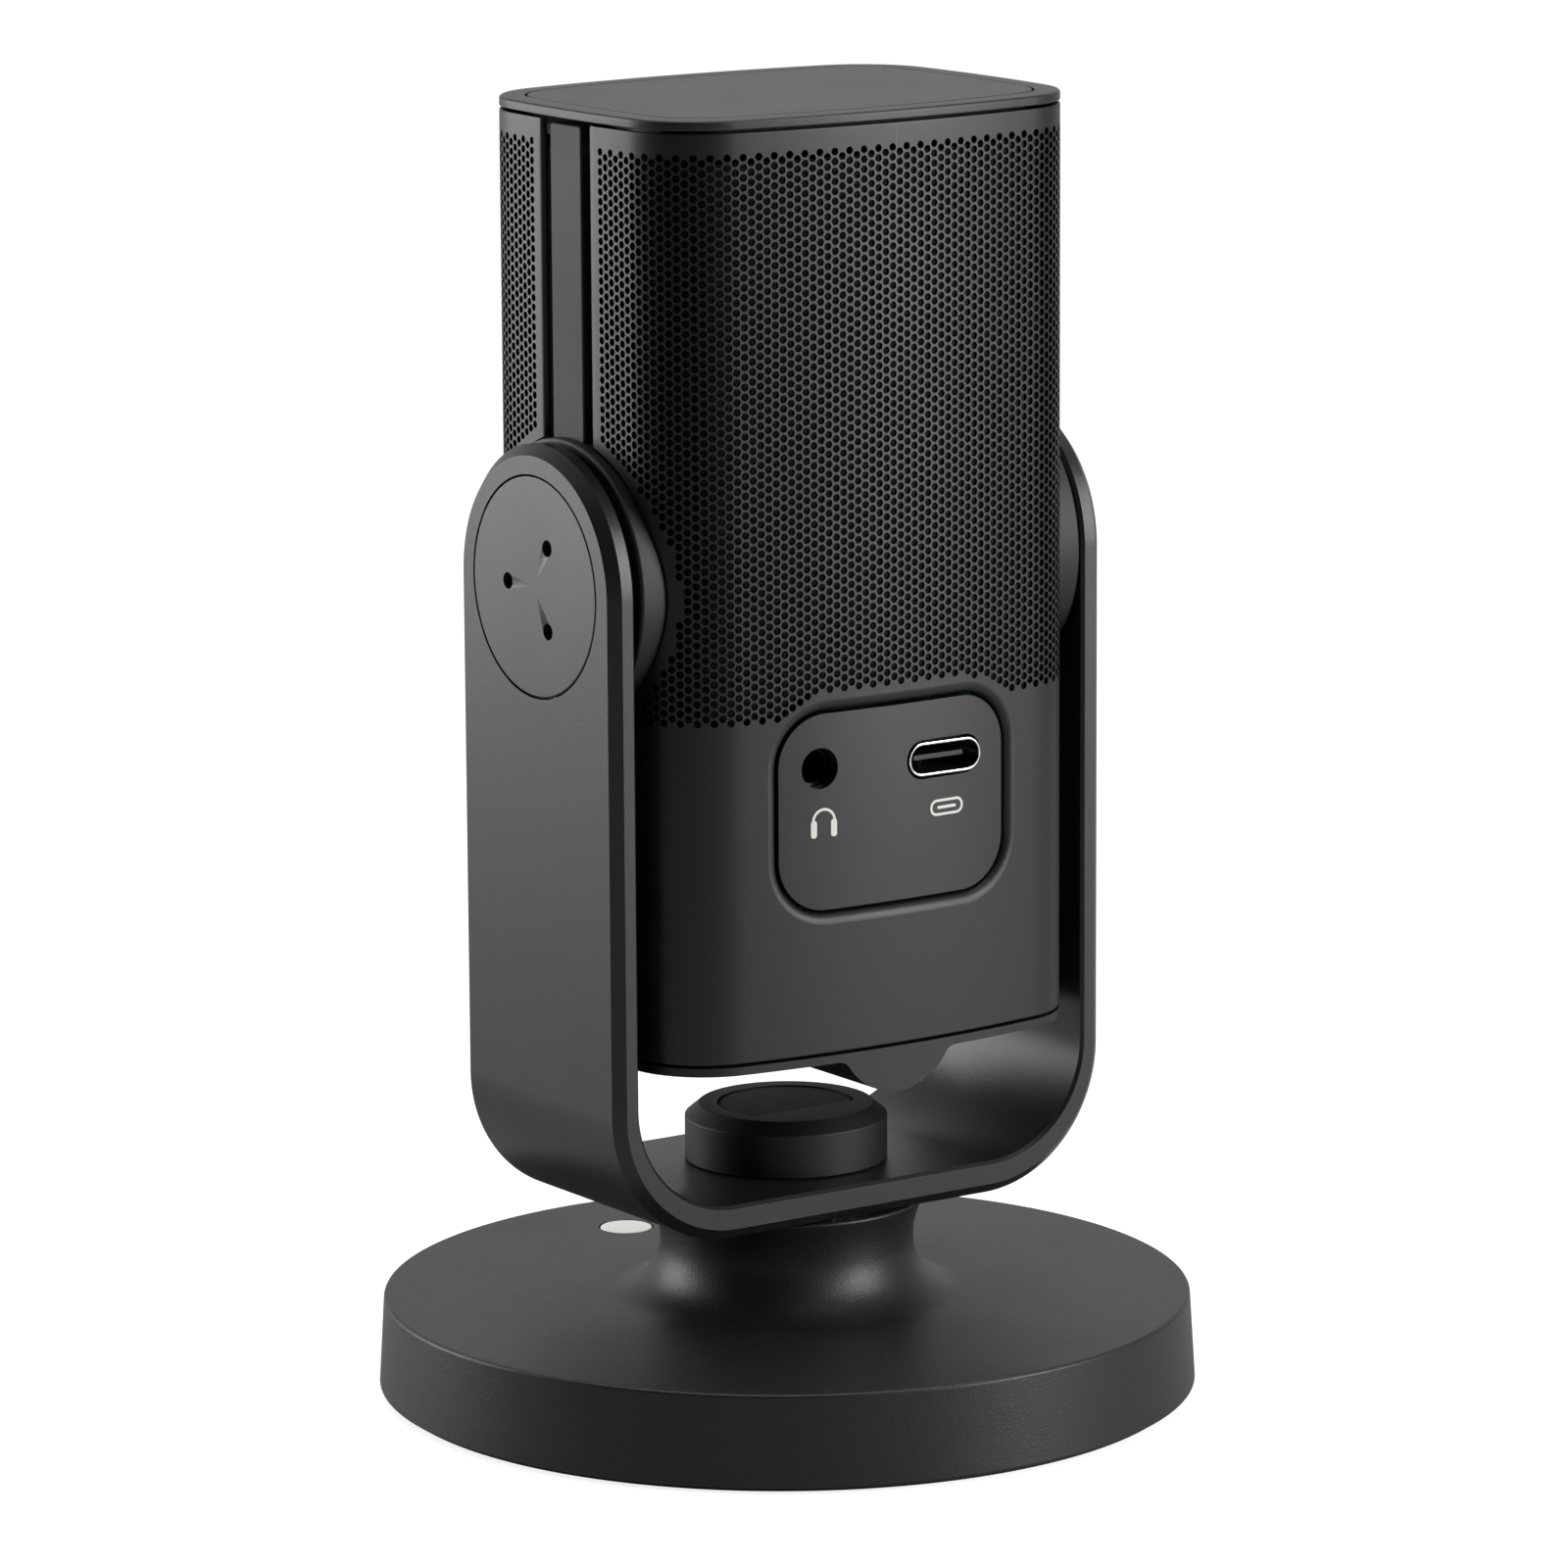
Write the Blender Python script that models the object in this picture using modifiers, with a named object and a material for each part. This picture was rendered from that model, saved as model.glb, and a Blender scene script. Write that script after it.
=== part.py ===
"""Desktop microphone on a round magnetic stand.

A squarish microphone head hangs between the arms of a U-shaped yoke.  The yoke turns on a
heavy round base, and lifts off it.  The front faces -Y, the sockets face +Y, and the pivots
of the yoke lie along X.  The origin is the middle of the underside, on the table.
"""

import math

import bmesh
import bpy
from mathutils import Vector

MM = 0.001

# Fits
SEAT_GAP = 0.1 * MM
GROOVE = 0.2 * MM
CLEARANCE = 0.3 * MM
RUNNING_FIT = 0.08 * MM

# Base
BASE_DIAMETER = 89.0 * MM
BASE_TOP_DIAMETER = 87.8 * MM
BASE_TOP_HEIGHT = 10.5 * MM
BASE_EDGE_ROUND = 0.35 * MM
FOOT_PAD_INSET = 0.9 * MM
FOOT_PAD_THICKNESS = 1.4 * MM
FOOT_PAD_STANDOUT = 0.6 * MM
NECK_TOP_DIAMETER = 30.0 * MM
NECK_WAIST_DIAMETER = 27.6 * MM
NECK_WAIST_HEIGHT = 16.3 * MM
NECK_FILLET_WIDTH = 5.6 * MM
CAVITY_HEIGHT = 7.0 * MM
CAVITY_WALL = 5.0 * MM
CORE_DIAMETER = 28.0 * MM
MARKER_DIAMETER = 5.8 * MM
MARKER_DISTANCE = 31.8 * MM
MARKER_THICKNESS = 0.6 * MM
NECK_WALL = 1.5 * MM
MAGNET_BORE = 12.8 * MM
MAGNET_HEIGHT = 3.2 * MM
STUD_DIAMETER = 7.8 * MM
STUD_ROOT_DEPTH = 8.6 * MM
STUD_CHAMFER = 0.8 * MM

# Yoke
YOKE_FLOAT = 0.3 * MM
YOKE_STRAP_WIDTH = 30.0 * MM
YOKE_ARM_THICKNESS = 2.8 * MM
YOKE_BRIDGE_THICKNESS = 3.7 * MM
YOKE_OUTER_BEND = 15.0 * MM
YOKE_INNER_BEND = 12.0 * MM
YOKE_CHAMFER = 1.15 * MM
YOKE_INNER_CHAMFER_SHARE = 0.3
YOKE_BRIDGE_BOTTOM = 21.4 * MM
PIVOT_HEIGHT = 91.05 * MM
KEEPER_THICKNESS = 1.5 * MM
INSERT_DIAMETER = 12.6 * MM
INSERT_HEIGHT = 7.1 * MM
BOSS_DIAMETER = 22.0 * MM
BOSS_TOP_DIAMETER = 18.9 * MM
BOSS_HEIGHT = 6.1 * MM
BOSS_CHAMFER_HEIGHT = 1.3 * MM
BOSS_ROOF = 2.2 * MM
BOSS_PAD_RADIUS = 7.3 * MM
BOSS_PAD_CHORD = 3.5 * MM
BOSS_PAD_THICKNESS = 0.8 * MM
PIVOT_CAP_DIAMETER = 23.4 * MM
PIVOT_CAP_THICKNESS = 1.2 * MM
PIVOT_CAP_EDGE = 0.15 * MM
PIN_HOLE_DIAMETER = 1.8 * MM
PIN_HOLE_CIRCLE = 5.1 * MM

# Pivot
AXLE_DIAMETER = 5.6 * MM
AXLE_FLANGE_DIAMETER = 12.2 * MM
AXLE_FLANGE_THICKNESS = 0.6 * MM
WASHER_DIAMETER = 18.0 * MM
WASHER_THICKNESS = 0.4 * MM
HUB_DIAMETER = 30.8 * MM
HUB_DEPTH = 3.6 * MM
HUB_STANDOUT = 0.9 * MM
HUB_EDGE = 0.3 * MM

# Head
HEAD_WIDTH = 54.7 * MM
HEAD_DEPTH = 42.4 * MM
HEAD_CORNER_RADIUS = 9.3 * MM
HEAD_FACE_RADIUS = 121.0 * MM
HEAD_SIDE_RADIUS = 137.0 * MM
HEAD_TOP = 141.0 * MM
HEAD_BOTTOM = 40.5 * MM
CAP_RIM_HEIGHT = 1.05 * MM
CAP_EDGE = 0.3 * MM
CAP_PLUG_DEPTH = 2.6 * MM
CAP_PLUG_MARGIN = 4.0 * MM
TOP_PANEL_INSET = 2.7 * MM
TOP_PANEL_THICKNESS = 0.7 * MM
BOTTOM_RIM_HEIGHT = 0.9 * MM
BUMP_RIM = 0.8 * MM
BUMP_FILLET = 1.5 * MM
BUMP_END_WALL = 1.6 * MM
KNOB_HEIGHT = 44.1 * MM
SHELL_THICKNESS = 1.0 * MM
STRIP_WIDTH = 5.9 * MM
STRIP_GROOVE = 1.35 * MM
STRIP_SINK = 0.1 * MM
STRIP_DEPTH = 3.2 * MM

# Rear panel and sockets
PANEL_WIDTH = 28.8 * MM
PANEL_HEIGHT = 21.0 * MM
PANEL_CORNER = 5.6 * MM
PANEL_CENTRE_HEIGHT = 67.6 * MM
PANEL_SINK = 0.45 * MM
PANEL_THICKNESS = 1.3 * MM
JACK_X = 9.45 * MM
JACK_HEIGHT = 72.3 * MM
JACK_HOLE = 4.4 * MM
JACK_BORE = 3.6 * MM
JACK_BODY = 6.4 * MM
USB_X = -6.45 * MM
USB_HEIGHT = 71.8 * MM
USB_WIDTH = 9.3 * MM
USB_THICKNESS = 3.6 * MM
USB_WALL = 0.4 * MM
USB_TONGUE_WIDTH = 6.6 * MM
USB_TONGUE_THICKNESS = 0.7 * MM

# Inside the head
DECK_UNDERSIDE = 72.4 * MM
DECK_THICKNESS = 2.6 * MM
FRAME_INSET = 3.65 * MM
DECK_FRONT_INSET = 2.4 * MM
DECK_REAR_INSET = 10.6 * MM
DECK_CORNER = 6.0 * MM
POST_THICKNESS = 3.4 * MM
POST_HALF_DEPTH = 6.0 * MM
POST_BOTTOM = 50.2 * MM
POST_TOP_ROOM = 5.0 * MM
BOARD_THICKNESS = 1.6 * MM
BOARD_INSET = 0.5 * MM
BOARD_BOTTOM = 50.2 * MM
BOARD_TOP = 79.0 * MM
SCREW_SHANK = 1.8 * MM
SCREW_HEAD = 3.6 * MM
SCREW_HEAD_HEIGHT = 1.0 * MM
SCREW_LENGTH = 5.0 * MM
SCREW_MARGIN = 3.0 * MM
CAPSULE_HEIGHT = 107.0 * MM
CAPSULE_DIAMETER = 18.0 * MM
CAPSULE_DEPTH = 8.0 * MM
CAPSULE_WALL = 1.2 * MM
DIAPHRAGM_THICKNESS = 0.6 * MM
MOUNT_RING_THICKNESS = 1.6 * MM
BRACKET_WALL = 1.7 * MM
BRACKET_THICKNESS = 3.0 * MM
FOAM_THICKNESS = 1.5 * MM
FOAM_TOP_ROOM = 4.6 * MM
FOAM_BOTTOM = 80.4 * MM

# Volume control
KNOB_DIAMETER = 13.0 * MM
KNOB_DEPTH = 4.2 * MM
KNOB_STANDOUT = 2.4 * MM
KNOB_DISH = 0.3 * MM
KNOB_EDGE = 0.5 * MM
SHAFT_DIAMETER = 6.0 * MM
SHAFT_LENGTH = 5.0 * MM
PLUNGER_DIAMETER = 4.0 * MM
PLUNGER_LENGTH = 1.0 * MM
CONTROL_DIAMETER = 11.0 * MM
CONTROL_LENGTH = 6.5 * MM
CONTROL_ROOM = 0.5 * MM
CONTROL_BORE_DEPTH = 4.2 * MM
PUSH_ROOM = 1.1 * MM

ROUND_STEPS = 48
SMALL_ROUND_STEPS = 24
PIN_HOLE_STEPS = 16
TINY_ROUND_STEPS = 12

# How far a cutter runs past the face it cuts through
CUT_OVERRUN = 1.0 * MM

# Worked-out places
BASE_BOTTOM = FOOT_PAD_STANDOUT
NECK_TOP = YOKE_BRIDGE_BOTTOM - YOKE_FLOAT
BRIDGE_TOP = YOKE_BRIDGE_BOTTOM + YOKE_BRIDGE_THICKNESS
MAGNET_SEAT = NECK_WAIST_DIAMETER / 2 - NECK_WALL
MAGNET_RADIUS = MAGNET_SEAT - CLEARANCE
HUB_FACE = HEAD_WIDTH / 2 + HUB_STANDOUT
ARM_INSIDE = HUB_FACE + WASHER_THICKNESS + 2 * SEAT_GAP
ARM_OUTSIDE = ARM_INSIDE + YOKE_ARM_THICKNESS
SHELL_TOP = HEAD_TOP - CAP_RIM_HEIGHT - CLEARANCE
SHELL_BOTTOM = HEAD_BOTTOM + BOTTOM_RIM_HEIGHT + CLEARANCE
STRIP_OUTSIDE = HEAD_WIDTH / 2 - STRIP_SINK
SEAM_HALF = STRIP_WIDTH / 2 + STRIP_GROOVE
BUMP_RADIUS = KNOB_DIAMETER / 2 + CLEARANCE + BUMP_RIM
REAR_FACE = HEAD_DEPTH / 2
PANEL_INNER_FACE = REAR_FACE - PANEL_SINK - PANEL_THICKNESS
DECK_WIDTH = HEAD_WIDTH - 2 * FRAME_INSET
DECK_FRONT = DECK_FRONT_INSET - REAR_FACE
DECK_REAR = REAR_FACE - DECK_REAR_INSET
POST_TOP = HEAD_TOP - POST_TOP_ROOM
FOAM_TOP = HEAD_TOP - FOAM_TOP_ROOM
BOARD_FACE = DECK_REAR + CLEARANCE + BOARD_THICKNESS + SEAT_GAP
KNOB_FACE = -REAR_FACE - KNOB_STANDOUT
KNOB_BACK = KNOB_FACE + KNOB_DEPTH
CONTROL_FRONT = KNOB_BACK + PUSH_ROOM


# ---------------------------------------------------------------- scene and collections

def clear_scene():
    for obj in list(bpy.data.objects):
        bpy.data.objects.remove(obj, do_unlink=True)


def new_collection(name):
    collection = bpy.data.collections.new(name)
    bpy.context.scene.collection.children.link(collection)
    return collection


def new_empty(name, parent, place):
    empty = bpy.data.objects.new(name, None)
    empty.empty_display_size = 10 * MM
    PARTS.objects.link(empty)
    attach(empty, parent, place)
    return empty


def world_place(obj):
    place = Vector((0.0, 0.0, 0.0))
    while obj is not None:
        place += obj.location
        obj = obj.parent
    return place


def attach(obj, parent, place):
    """Parent an object and put its origin at a place in the world."""
    obj.parent = parent
    obj.location = Vector(place) - world_place(parent)


# ---------------------------------------------------------------- materials

def new_material(name, colour, roughness, metallic):
    material = bpy.data.materials.new(name)
    material.use_nodes = True
    shader = material.node_tree.nodes["Principled BSDF"]
    shader.inputs["Base Color"].default_value = (*colour, 1.0)
    shader.inputs["Roughness"].default_value = roughness
    shader.inputs["Metallic"].default_value = metallic
    material.diffuse_color = (*colour, 1.0)
    return material


# ---------------------------------------------------------------- outlines

def arc(centre, radius, start, end, steps):
    """Points from one angle to another in degrees, both ends included."""
    angles = [math.radians(start + (end - start) * step / steps) for step in range(steps + 1)]
    return [(centre[0] + radius * math.cos(a), centre[1] + radius * math.sin(a)) for a in angles]


def rounded_rectangle(width, height, radius, steps=6):
    points = []
    for quarter, (side_x, side_y) in enumerate(((1, 1), (-1, 1), (-1, -1), (1, -1))):
        centre = (side_x * (width / 2 - radius), side_y * (height / 2 - radius))
        points += arc(centre, radius, 90 * quarter, 90 * quarter + 90, steps)
    return points


def head_outline(inset=0.0):
    """The head's plan: bowed front, rear and side faces, with round corners between them."""
    corner = HEAD_CORNER_RADIUS
    face_middle = HEAD_DEPTH / 2 - HEAD_FACE_RADIUS
    side_middle = HEAD_WIDTH / 2 - HEAD_SIDE_RADIUS
    reach_face = HEAD_FACE_RADIUS - corner
    reach_side = HEAD_SIDE_RADIUS - corner
    # The corner's centre lies on one circle about each face's centre.
    gap = math.hypot(side_middle, face_middle)
    along = (reach_face**2 - reach_side**2 + gap**2) / (2 * gap)
    across = math.sqrt(reach_face**2 - along**2)
    to_side = Vector((side_middle, -face_middle)) / gap
    sideways = Vector((-to_side.y, to_side.x))
    middles = [Vector((0, face_middle)) + to_side * along + sideways * across * sign for sign in (-1, 1)]
    middle = max(middles, key=lambda point: point.x + point.y)
    face_angle = math.degrees(math.atan2(middle.y - face_middle, middle.x))
    side_angle = math.degrees(math.atan2(middle.y, middle.x - side_middle))
    quarter = arc((side_middle, 0), HEAD_SIDE_RADIUS - inset, 0, side_angle, 2)
    quarter += arc(middle, corner - inset, side_angle, face_angle, 6)[1:]
    quarter += arc((0, face_middle), HEAD_FACE_RADIUS - inset, face_angle, 90, 4)[1:]
    half = quarter + [(-x, y) for x, y in reversed(quarter[:-1])]
    return half + [(-x, -y) for x, y in half[1:-1]]


def yoke_outline():
    """The U seen along Y: outside from the left arm's top round to the right, then back inside."""
    top = PIVOT_HEIGHT + YOKE_STRAP_WIDTH
    outer = YOKE_OUTER_BEND
    inner = YOKE_INNER_BEND
    low = YOKE_BRIDGE_BOTTOM
    points = [(-ARM_OUTSIDE, top)]
    points += arc((outer - ARM_OUTSIDE, low + outer), outer, 180, 270, 9)
    points += arc((ARM_OUTSIDE - outer, low + outer), outer, 270, 360, 9)
    points += [(ARM_OUTSIDE, top), (ARM_INSIDE, top)]
    points += arc((ARM_INSIDE - inner, BRIDGE_TOP + inner), inner, 0, -90, 9)
    points += arc((inner - ARM_INSIDE, BRIDGE_TOP + inner), inner, -90, -180, 9)
    points += [(-ARM_INSIDE, top)]
    return points


def strap_outline():
    """The yoke's arm seen along X: straight sides under a half-round top."""
    half = YOKE_STRAP_WIDTH / 2
    low = YOKE_BRIDGE_BOTTOM - YOKE_STRAP_WIDTH
    return [(-half, low), (half, low)] + arc((0, PIVOT_HEIGHT), half, 0, 180, 24)


def bump_outline():
    """The round swelling below the head, seen along Y, with a fillet into the rim each side."""
    reach = BUMP_RADIUS + BUMP_FILLET
    drop = KNOB_HEIGHT - HEAD_BOTTOM + BUMP_FILLET
    aside = math.sqrt(reach**2 - drop**2)
    turn = math.degrees(math.atan2(drop, aside))
    low = HEAD_BOTTOM - BUMP_FILLET
    points = [(-aside, SHELL_BOTTOM - CLEARANCE)]
    points += arc((-aside, low), BUMP_FILLET, 90, turn, 5)
    points += arc((0, KNOB_HEIGHT), BUMP_RADIUS, 180 + turn, 360 - turn, 20)[1:-1]
    points += arc((aside, low), BUMP_FILLET, 180 - turn, 90, 5)
    points += [(aside, SHELL_BOTTOM - CLEARANCE)]
    return points


# ---------------------------------------------------------------- building blocks

def add_object(name, mesh, material, parent, place):
    obj = bpy.data.objects.new(name, mesh)
    PARTS.objects.link(obj)
    attach(obj, parent, place)
    if material is not None:
        mesh.materials.clear()
        mesh.materials.append(material)
    return obj


def smooth(mesh, degrees=35):
    mesh.shade_smooth()
    mesh.set_sharp_from_angle(angle=math.radians(degrees))


def slab(name, outlines, thickness, material, parent, place, facing="Z"):
    """A flat outline, with holes if it has more than one loop, of even thickness.

    place is the middle of the slab's thickness.  facing is the axis the slab is pushed along.
    """
    curve = bpy.data.curves.new(name, "CURVE")
    curve.dimensions = "2D"
    curve.fill_mode = "BOTH"
    curve.extrude = thickness / 2
    for outline in outlines:
        spline = curve.splines.new("POLY")
        spline.points.add(len(outline) - 1)
        for point, (x, y) in zip(spline.points, outline):
            point.co = (x, y, 0.0, 1.0)
        spline.use_cyclic_u = True
    source = bpy.data.objects.new(name + "_outline", curve)
    PARTS.objects.link(source)
    bpy.context.view_layer.update()
    evaluated = source.evaluated_get(bpy.context.evaluated_depsgraph_get())
    mesh = bpy.data.meshes.new_from_object(evaluated)
    weld(mesh)
    smooth(mesh)
    bpy.data.objects.remove(source, do_unlink=True)
    obj = add_object(name, mesh, material, parent, place)
    if facing == "Y":
        obj.rotation_euler = (math.pi / 2, 0, 0)
    elif facing == "X":
        obj.rotation_euler = (math.pi / 2, 0, math.pi / 2)
    return obj


def weld(mesh):
    shape = bmesh.new()
    shape.from_mesh(mesh)
    bmesh.ops.remove_doubles(shape, verts=shape.verts, dist=0.001 * MM)
    bmesh.ops.recalc_face_normals(shape, faces=shape.faces)
    shape.to_mesh(mesh)
    shape.free()


def turned(name, profile, material, parent, place, axis="Z", steps=ROUND_STEPS):
    """A round piece from a profile of (radius, height) points, run down its outer side."""
    mesh = bpy.data.meshes.new(name)
    edges = [(index, index + 1) for index in range(len(profile) - 1)]
    if profile[0][0] > 0:
        edges.append((len(profile) - 1, 0))
    mesh.from_pydata([(radius, 0, height) for radius, height in profile], edges, [])
    obj = add_object(name, mesh, material, parent, place)
    screw = obj.modifiers.new("Turn", "SCREW")
    screw.axis = "Z"
    screw.angle = 2 * math.pi
    screw.steps = steps
    screw.render_steps = steps
    screw.use_merge_vertices = True
    screw.merge_threshold = 0.001 * MM
    screw.use_smooth_shade = True
    if axis == "Y":
        obj.rotation_euler = (-math.pi / 2, 0, 0)
    elif axis == "-Y":
        obj.rotation_euler = (math.pi / 2, 0, 0)
    elif axis == "X":
        obj.rotation_euler = (0, math.pi / 2, 0)
    elif axis == "-X":
        obj.rotation_euler = (0, -math.pi / 2, 0)
    return obj


def rod(name, radius, length, material, parent, place, axis="Z", steps=SMALL_ROUND_STEPS):
    """A plain cylinder about its middle."""
    mesh = bpy.data.meshes.new(name)
    shape = bmesh.new()
    bmesh.ops.create_cone(shape, cap_ends=True, segments=steps, radius1=radius, radius2=radius, depth=length)
    shape.to_mesh(mesh)
    shape.free()
    smooth(mesh)
    obj = add_object(name, mesh, material, parent, place)
    if axis == "Y":
        obj.rotation_euler = (math.pi / 2, 0, 0)
    elif axis == "X":
        obj.rotation_euler = (0, math.pi / 2, 0)
    return obj


def block(name, low, high, material, parent):
    """A box between two opposite corners."""
    mesh = bpy.data.meshes.new(name)
    shape = bmesh.new()
    bmesh.ops.create_cube(shape, size=1.0)
    size = Vector(high) - Vector(low)
    bmesh.ops.scale(shape, vec=size, verts=shape.verts)
    shape.to_mesh(mesh)
    shape.free()
    return add_object(name, mesh, material, parent, (Vector(low) + Vector(high)) / 2)


def ring_profile(outer, inner, height):
    """A plain ring about its own middle."""
    top = height / 2
    return [(inner, top), (outer, top), (outer, -top), (inner, -top)]


def combine(target, tool, operation):
    PARTS.objects.unlink(tool)
    CUTTERS.objects.link(tool)
    tool.hide_render = True
    tool.display_type = "WIRE"
    step = target.modifiers.new(operation.title(), "BOOLEAN")
    step.operation = operation
    step.solver = "EXACT"
    step.object = tool


def cut(target, tool):
    combine(target, tool, "DIFFERENCE")


def join(target, tool):
    combine(target, tool, "UNION")


def keep_common(target, tool):
    combine(target, tool, "INTERSECT")


def soften(target, width, segments=1, degrees=40):
    bevel = target.modifiers.new("Edge", "BEVEL")
    bevel.width = width
    bevel.segments = segments
    bevel.limit_method = "ANGLE"
    bevel.angle_limit = math.radians(degrees)


def settle(obj):
    """Replace an object's mesh with its finished shape, so that its edges can be marked."""
    bpy.context.view_layer.update()
    evaluated = obj.evaluated_get(bpy.context.evaluated_depsgraph_get())
    mesh = bpy.data.meshes.new_from_object(evaluated)
    obj.modifiers.clear()
    obj.data = mesh
    weld(mesh)
    bmesh_dissolve(mesh)


def bmesh_dissolve(mesh):
    """Merge the coplanar faces that cutting leaves, so that a bevel meets whole faces."""
    shape = bmesh.new()
    shape.from_mesh(mesh)
    bmesh.ops.dissolve_limit(shape, angle_limit=math.radians(0.5), verts=shape.verts, edges=shape.edges)
    shape.to_mesh(mesh)
    shape.free()


# ---------------------------------------------------------------- base

def neck_profile():
    """The neck's waisted side, from its top rim down to the base's upper face."""
    top = NECK_TOP_DIAMETER / 2
    waist = NECK_WAIST_DIAMETER / 2
    rise = NECK_TOP - NECK_WAIST_HEIGHT
    points = []
    for step in range(3):
        share = 1 - step / 3
        points.append((waist + (top - waist) * share**2, NECK_WAIST_HEIGHT + rise * share))
    drop = NECK_WAIST_HEIGHT - BASE_TOP_HEIGHT
    for step in range(7):
        turn = math.radians(90 * step / 6)
        radius = waist + NECK_FILLET_WIDTH * (1 - math.cos(turn))
        points.append((radius, NECK_WAIST_HEIGHT - drop * math.sin(turn)))
    return points


def build_base_weight():
    stud_hole = STUD_DIAMETER / 2 + SEAT_GAP
    magnet_floor = NECK_TOP - CLEARANCE - MAGNET_HEIGHT - SEAT_GAP
    pad_seat = BASE_DIAMETER / 2 - FOOT_PAD_INSET + CLEARANCE
    pad_ceiling = FOOT_PAD_THICKNESS + SEAT_GAP
    cavity_outer = BASE_DIAMETER / 2 - CAVITY_WALL
    cavity_top = pad_ceiling + CAVITY_HEIGHT
    rim = BASE_TOP_DIAMETER / 2
    profile = [(0, NECK_TOP - STUD_ROOT_DEPTH), (stud_hole, NECK_TOP - STUD_ROOT_DEPTH)]
    profile += [(stud_hole, magnet_floor), (MAGNET_SEAT, magnet_floor), (MAGNET_SEAT, NECK_TOP)]
    profile += neck_profile()
    profile += [(rim - BASE_EDGE_ROUND, BASE_TOP_HEIGHT), (rim, BASE_TOP_HEIGHT - BASE_EDGE_ROUND)]
    profile += [(BASE_DIAMETER / 2, BASE_BOTTOM), (pad_seat, BASE_BOTTOM), (pad_seat, pad_ceiling)]
    profile += [(cavity_outer, pad_ceiling), (cavity_outer, cavity_top), (CORE_DIAMETER / 2, cavity_top)]
    profile += [(CORE_DIAMETER / 2, pad_ceiling), (0, pad_ceiling)]
    base = turned("base_weight", profile, PAINT, BASE, (0, 0, 0), steps=60)
    depth = MARKER_THICKNESS + SEAT_GAP
    seat = rod("marker_seat", MARKER_DIAMETER / 2 + GROOVE, 2 * depth, None, BASE,
               (0, -MARKER_DISTANCE, BASE_TOP_HEIGHT))
    cut(base, seat)


def build_foot_pad():
    radius = BASE_DIAMETER / 2 - FOOT_PAD_INSET
    rod("foot_pad", radius, FOOT_PAD_THICKNESS, RUBBER, BASE, (0, 0, FOOT_PAD_THICKNESS / 2), steps=60)


def build_front_marker():
    height = BASE_TOP_HEIGHT - MARKER_THICKNESS / 2
    rod("front_marker", MARKER_DIAMETER / 2, MARKER_THICKNESS, MARKER, BASE, (0, -MARKER_DISTANCE, height))


def build_stand_magnet():
    profile = ring_profile(MAGNET_RADIUS, MAGNET_BORE / 2, MAGNET_HEIGHT)
    height = NECK_TOP - CLEARANCE - MAGNET_HEIGHT / 2
    turned("stand_magnet", profile, STEEL, BASE, (0, 0, height), steps=32)


def build_stand_stud():
    radius = STUD_DIAMETER / 2
    bottom = NECK_TOP - STUD_ROOT_DEPTH + SEAT_GAP
    top = YOKE_BRIDGE_BOTTOM + INSERT_HEIGHT
    profile = [(0, top), (radius - STUD_CHAMFER, top), (radius, top - STUD_CHAMFER)]
    profile += [(radius, bottom), (0, bottom)]
    turned("stand_stud", profile, STEEL, BASE, (0, 0, 0), steps=32)


# ---------------------------------------------------------------- yoke

def build_keeper_ring():
    bore = INSERT_DIAMETER / 2 + CLEARANCE + SEAT_GAP
    profile = ring_profile(MAGNET_RADIUS, bore, KEEPER_THICKNESS)
    turned("keeper_ring", profile, STEEL, SWIVEL, (0, 0, NECK_TOP + KEEPER_THICKNESS / 2), steps=32)


def build_yoke():
    yoke = slab("yoke", [yoke_outline()], 2 * YOKE_STRAP_WIDTH, PAINT, YOKE, (0, 0, 0), "Y")
    keep_common(yoke, slab("yoke_sides", [strap_outline()], 4 * ARM_OUTSIDE, None, YOKE, (0, 0, 0), "X"))
    settle(yoke)
    mark_yoke_edges(yoke.data)
    bevel = yoke.modifiers.new("Chamfer", "BEVEL")
    bevel.width = YOKE_CHAMFER * math.sqrt(2)
    bevel.offset_type = "WIDTH"
    bevel.segments = 1
    bevel.limit_method = "WEIGHT"
    for side in (-1, 1):
        cut_arm(yoke, side)
    bore = INSERT_DIAMETER / 2 + SEAT_GAP
    seat_top = NECK_TOP + KEEPER_THICKNESS + CLEARANCE
    below = YOKE_BRIDGE_BOTTOM - CUT_OVERRUN
    above = BRIDGE_TOP + CUT_OVERRUN
    profile = [(0, above), (bore, above), (bore, seat_top), (MAGNET_SEAT, seat_top)]
    profile += [(MAGNET_SEAT, below), (0, below)]
    cut(yoke, turned("yoke_bore", profile, None, YOKE, (0, 0, 0), steps=32))


def mark_yoke_edges(mesh):
    """Weight the strap's long edges: full chamfer on the outer ones, slight on the inner ones."""
    shape = bmesh.new()
    shape.from_mesh(mesh)
    layer = shape.edges.layers.float.new("bevel_weight_edge")
    for edge in shape.edges:
        if len(edge.link_faces) != 2 or edge.calc_face_angle(0.0) < math.radians(45):
            continue
        middle = (edge.verts[0].co + edge.verts[1].co) / 2
        edge[layer] = 1.0 if is_outside(middle.x, middle.y) else YOKE_INNER_CHAMFER_SHARE
    shape.to_mesh(mesh)
    shape.free()


def is_outside(x, height):
    """Whether a point of the strap lies on the U's outer surface rather than its inner one."""
    middle = YOKE_BRIDGE_BOTTOM + YOKE_OUTER_BEND
    straight = ARM_OUTSIDE - YOKE_OUTER_BEND
    reach = math.hypot(max(abs(x) - straight, 0), max(middle - height, 0))
    return reach > YOKE_OUTER_BEND - YOKE_ARM_THICKNESS / 2


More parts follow.
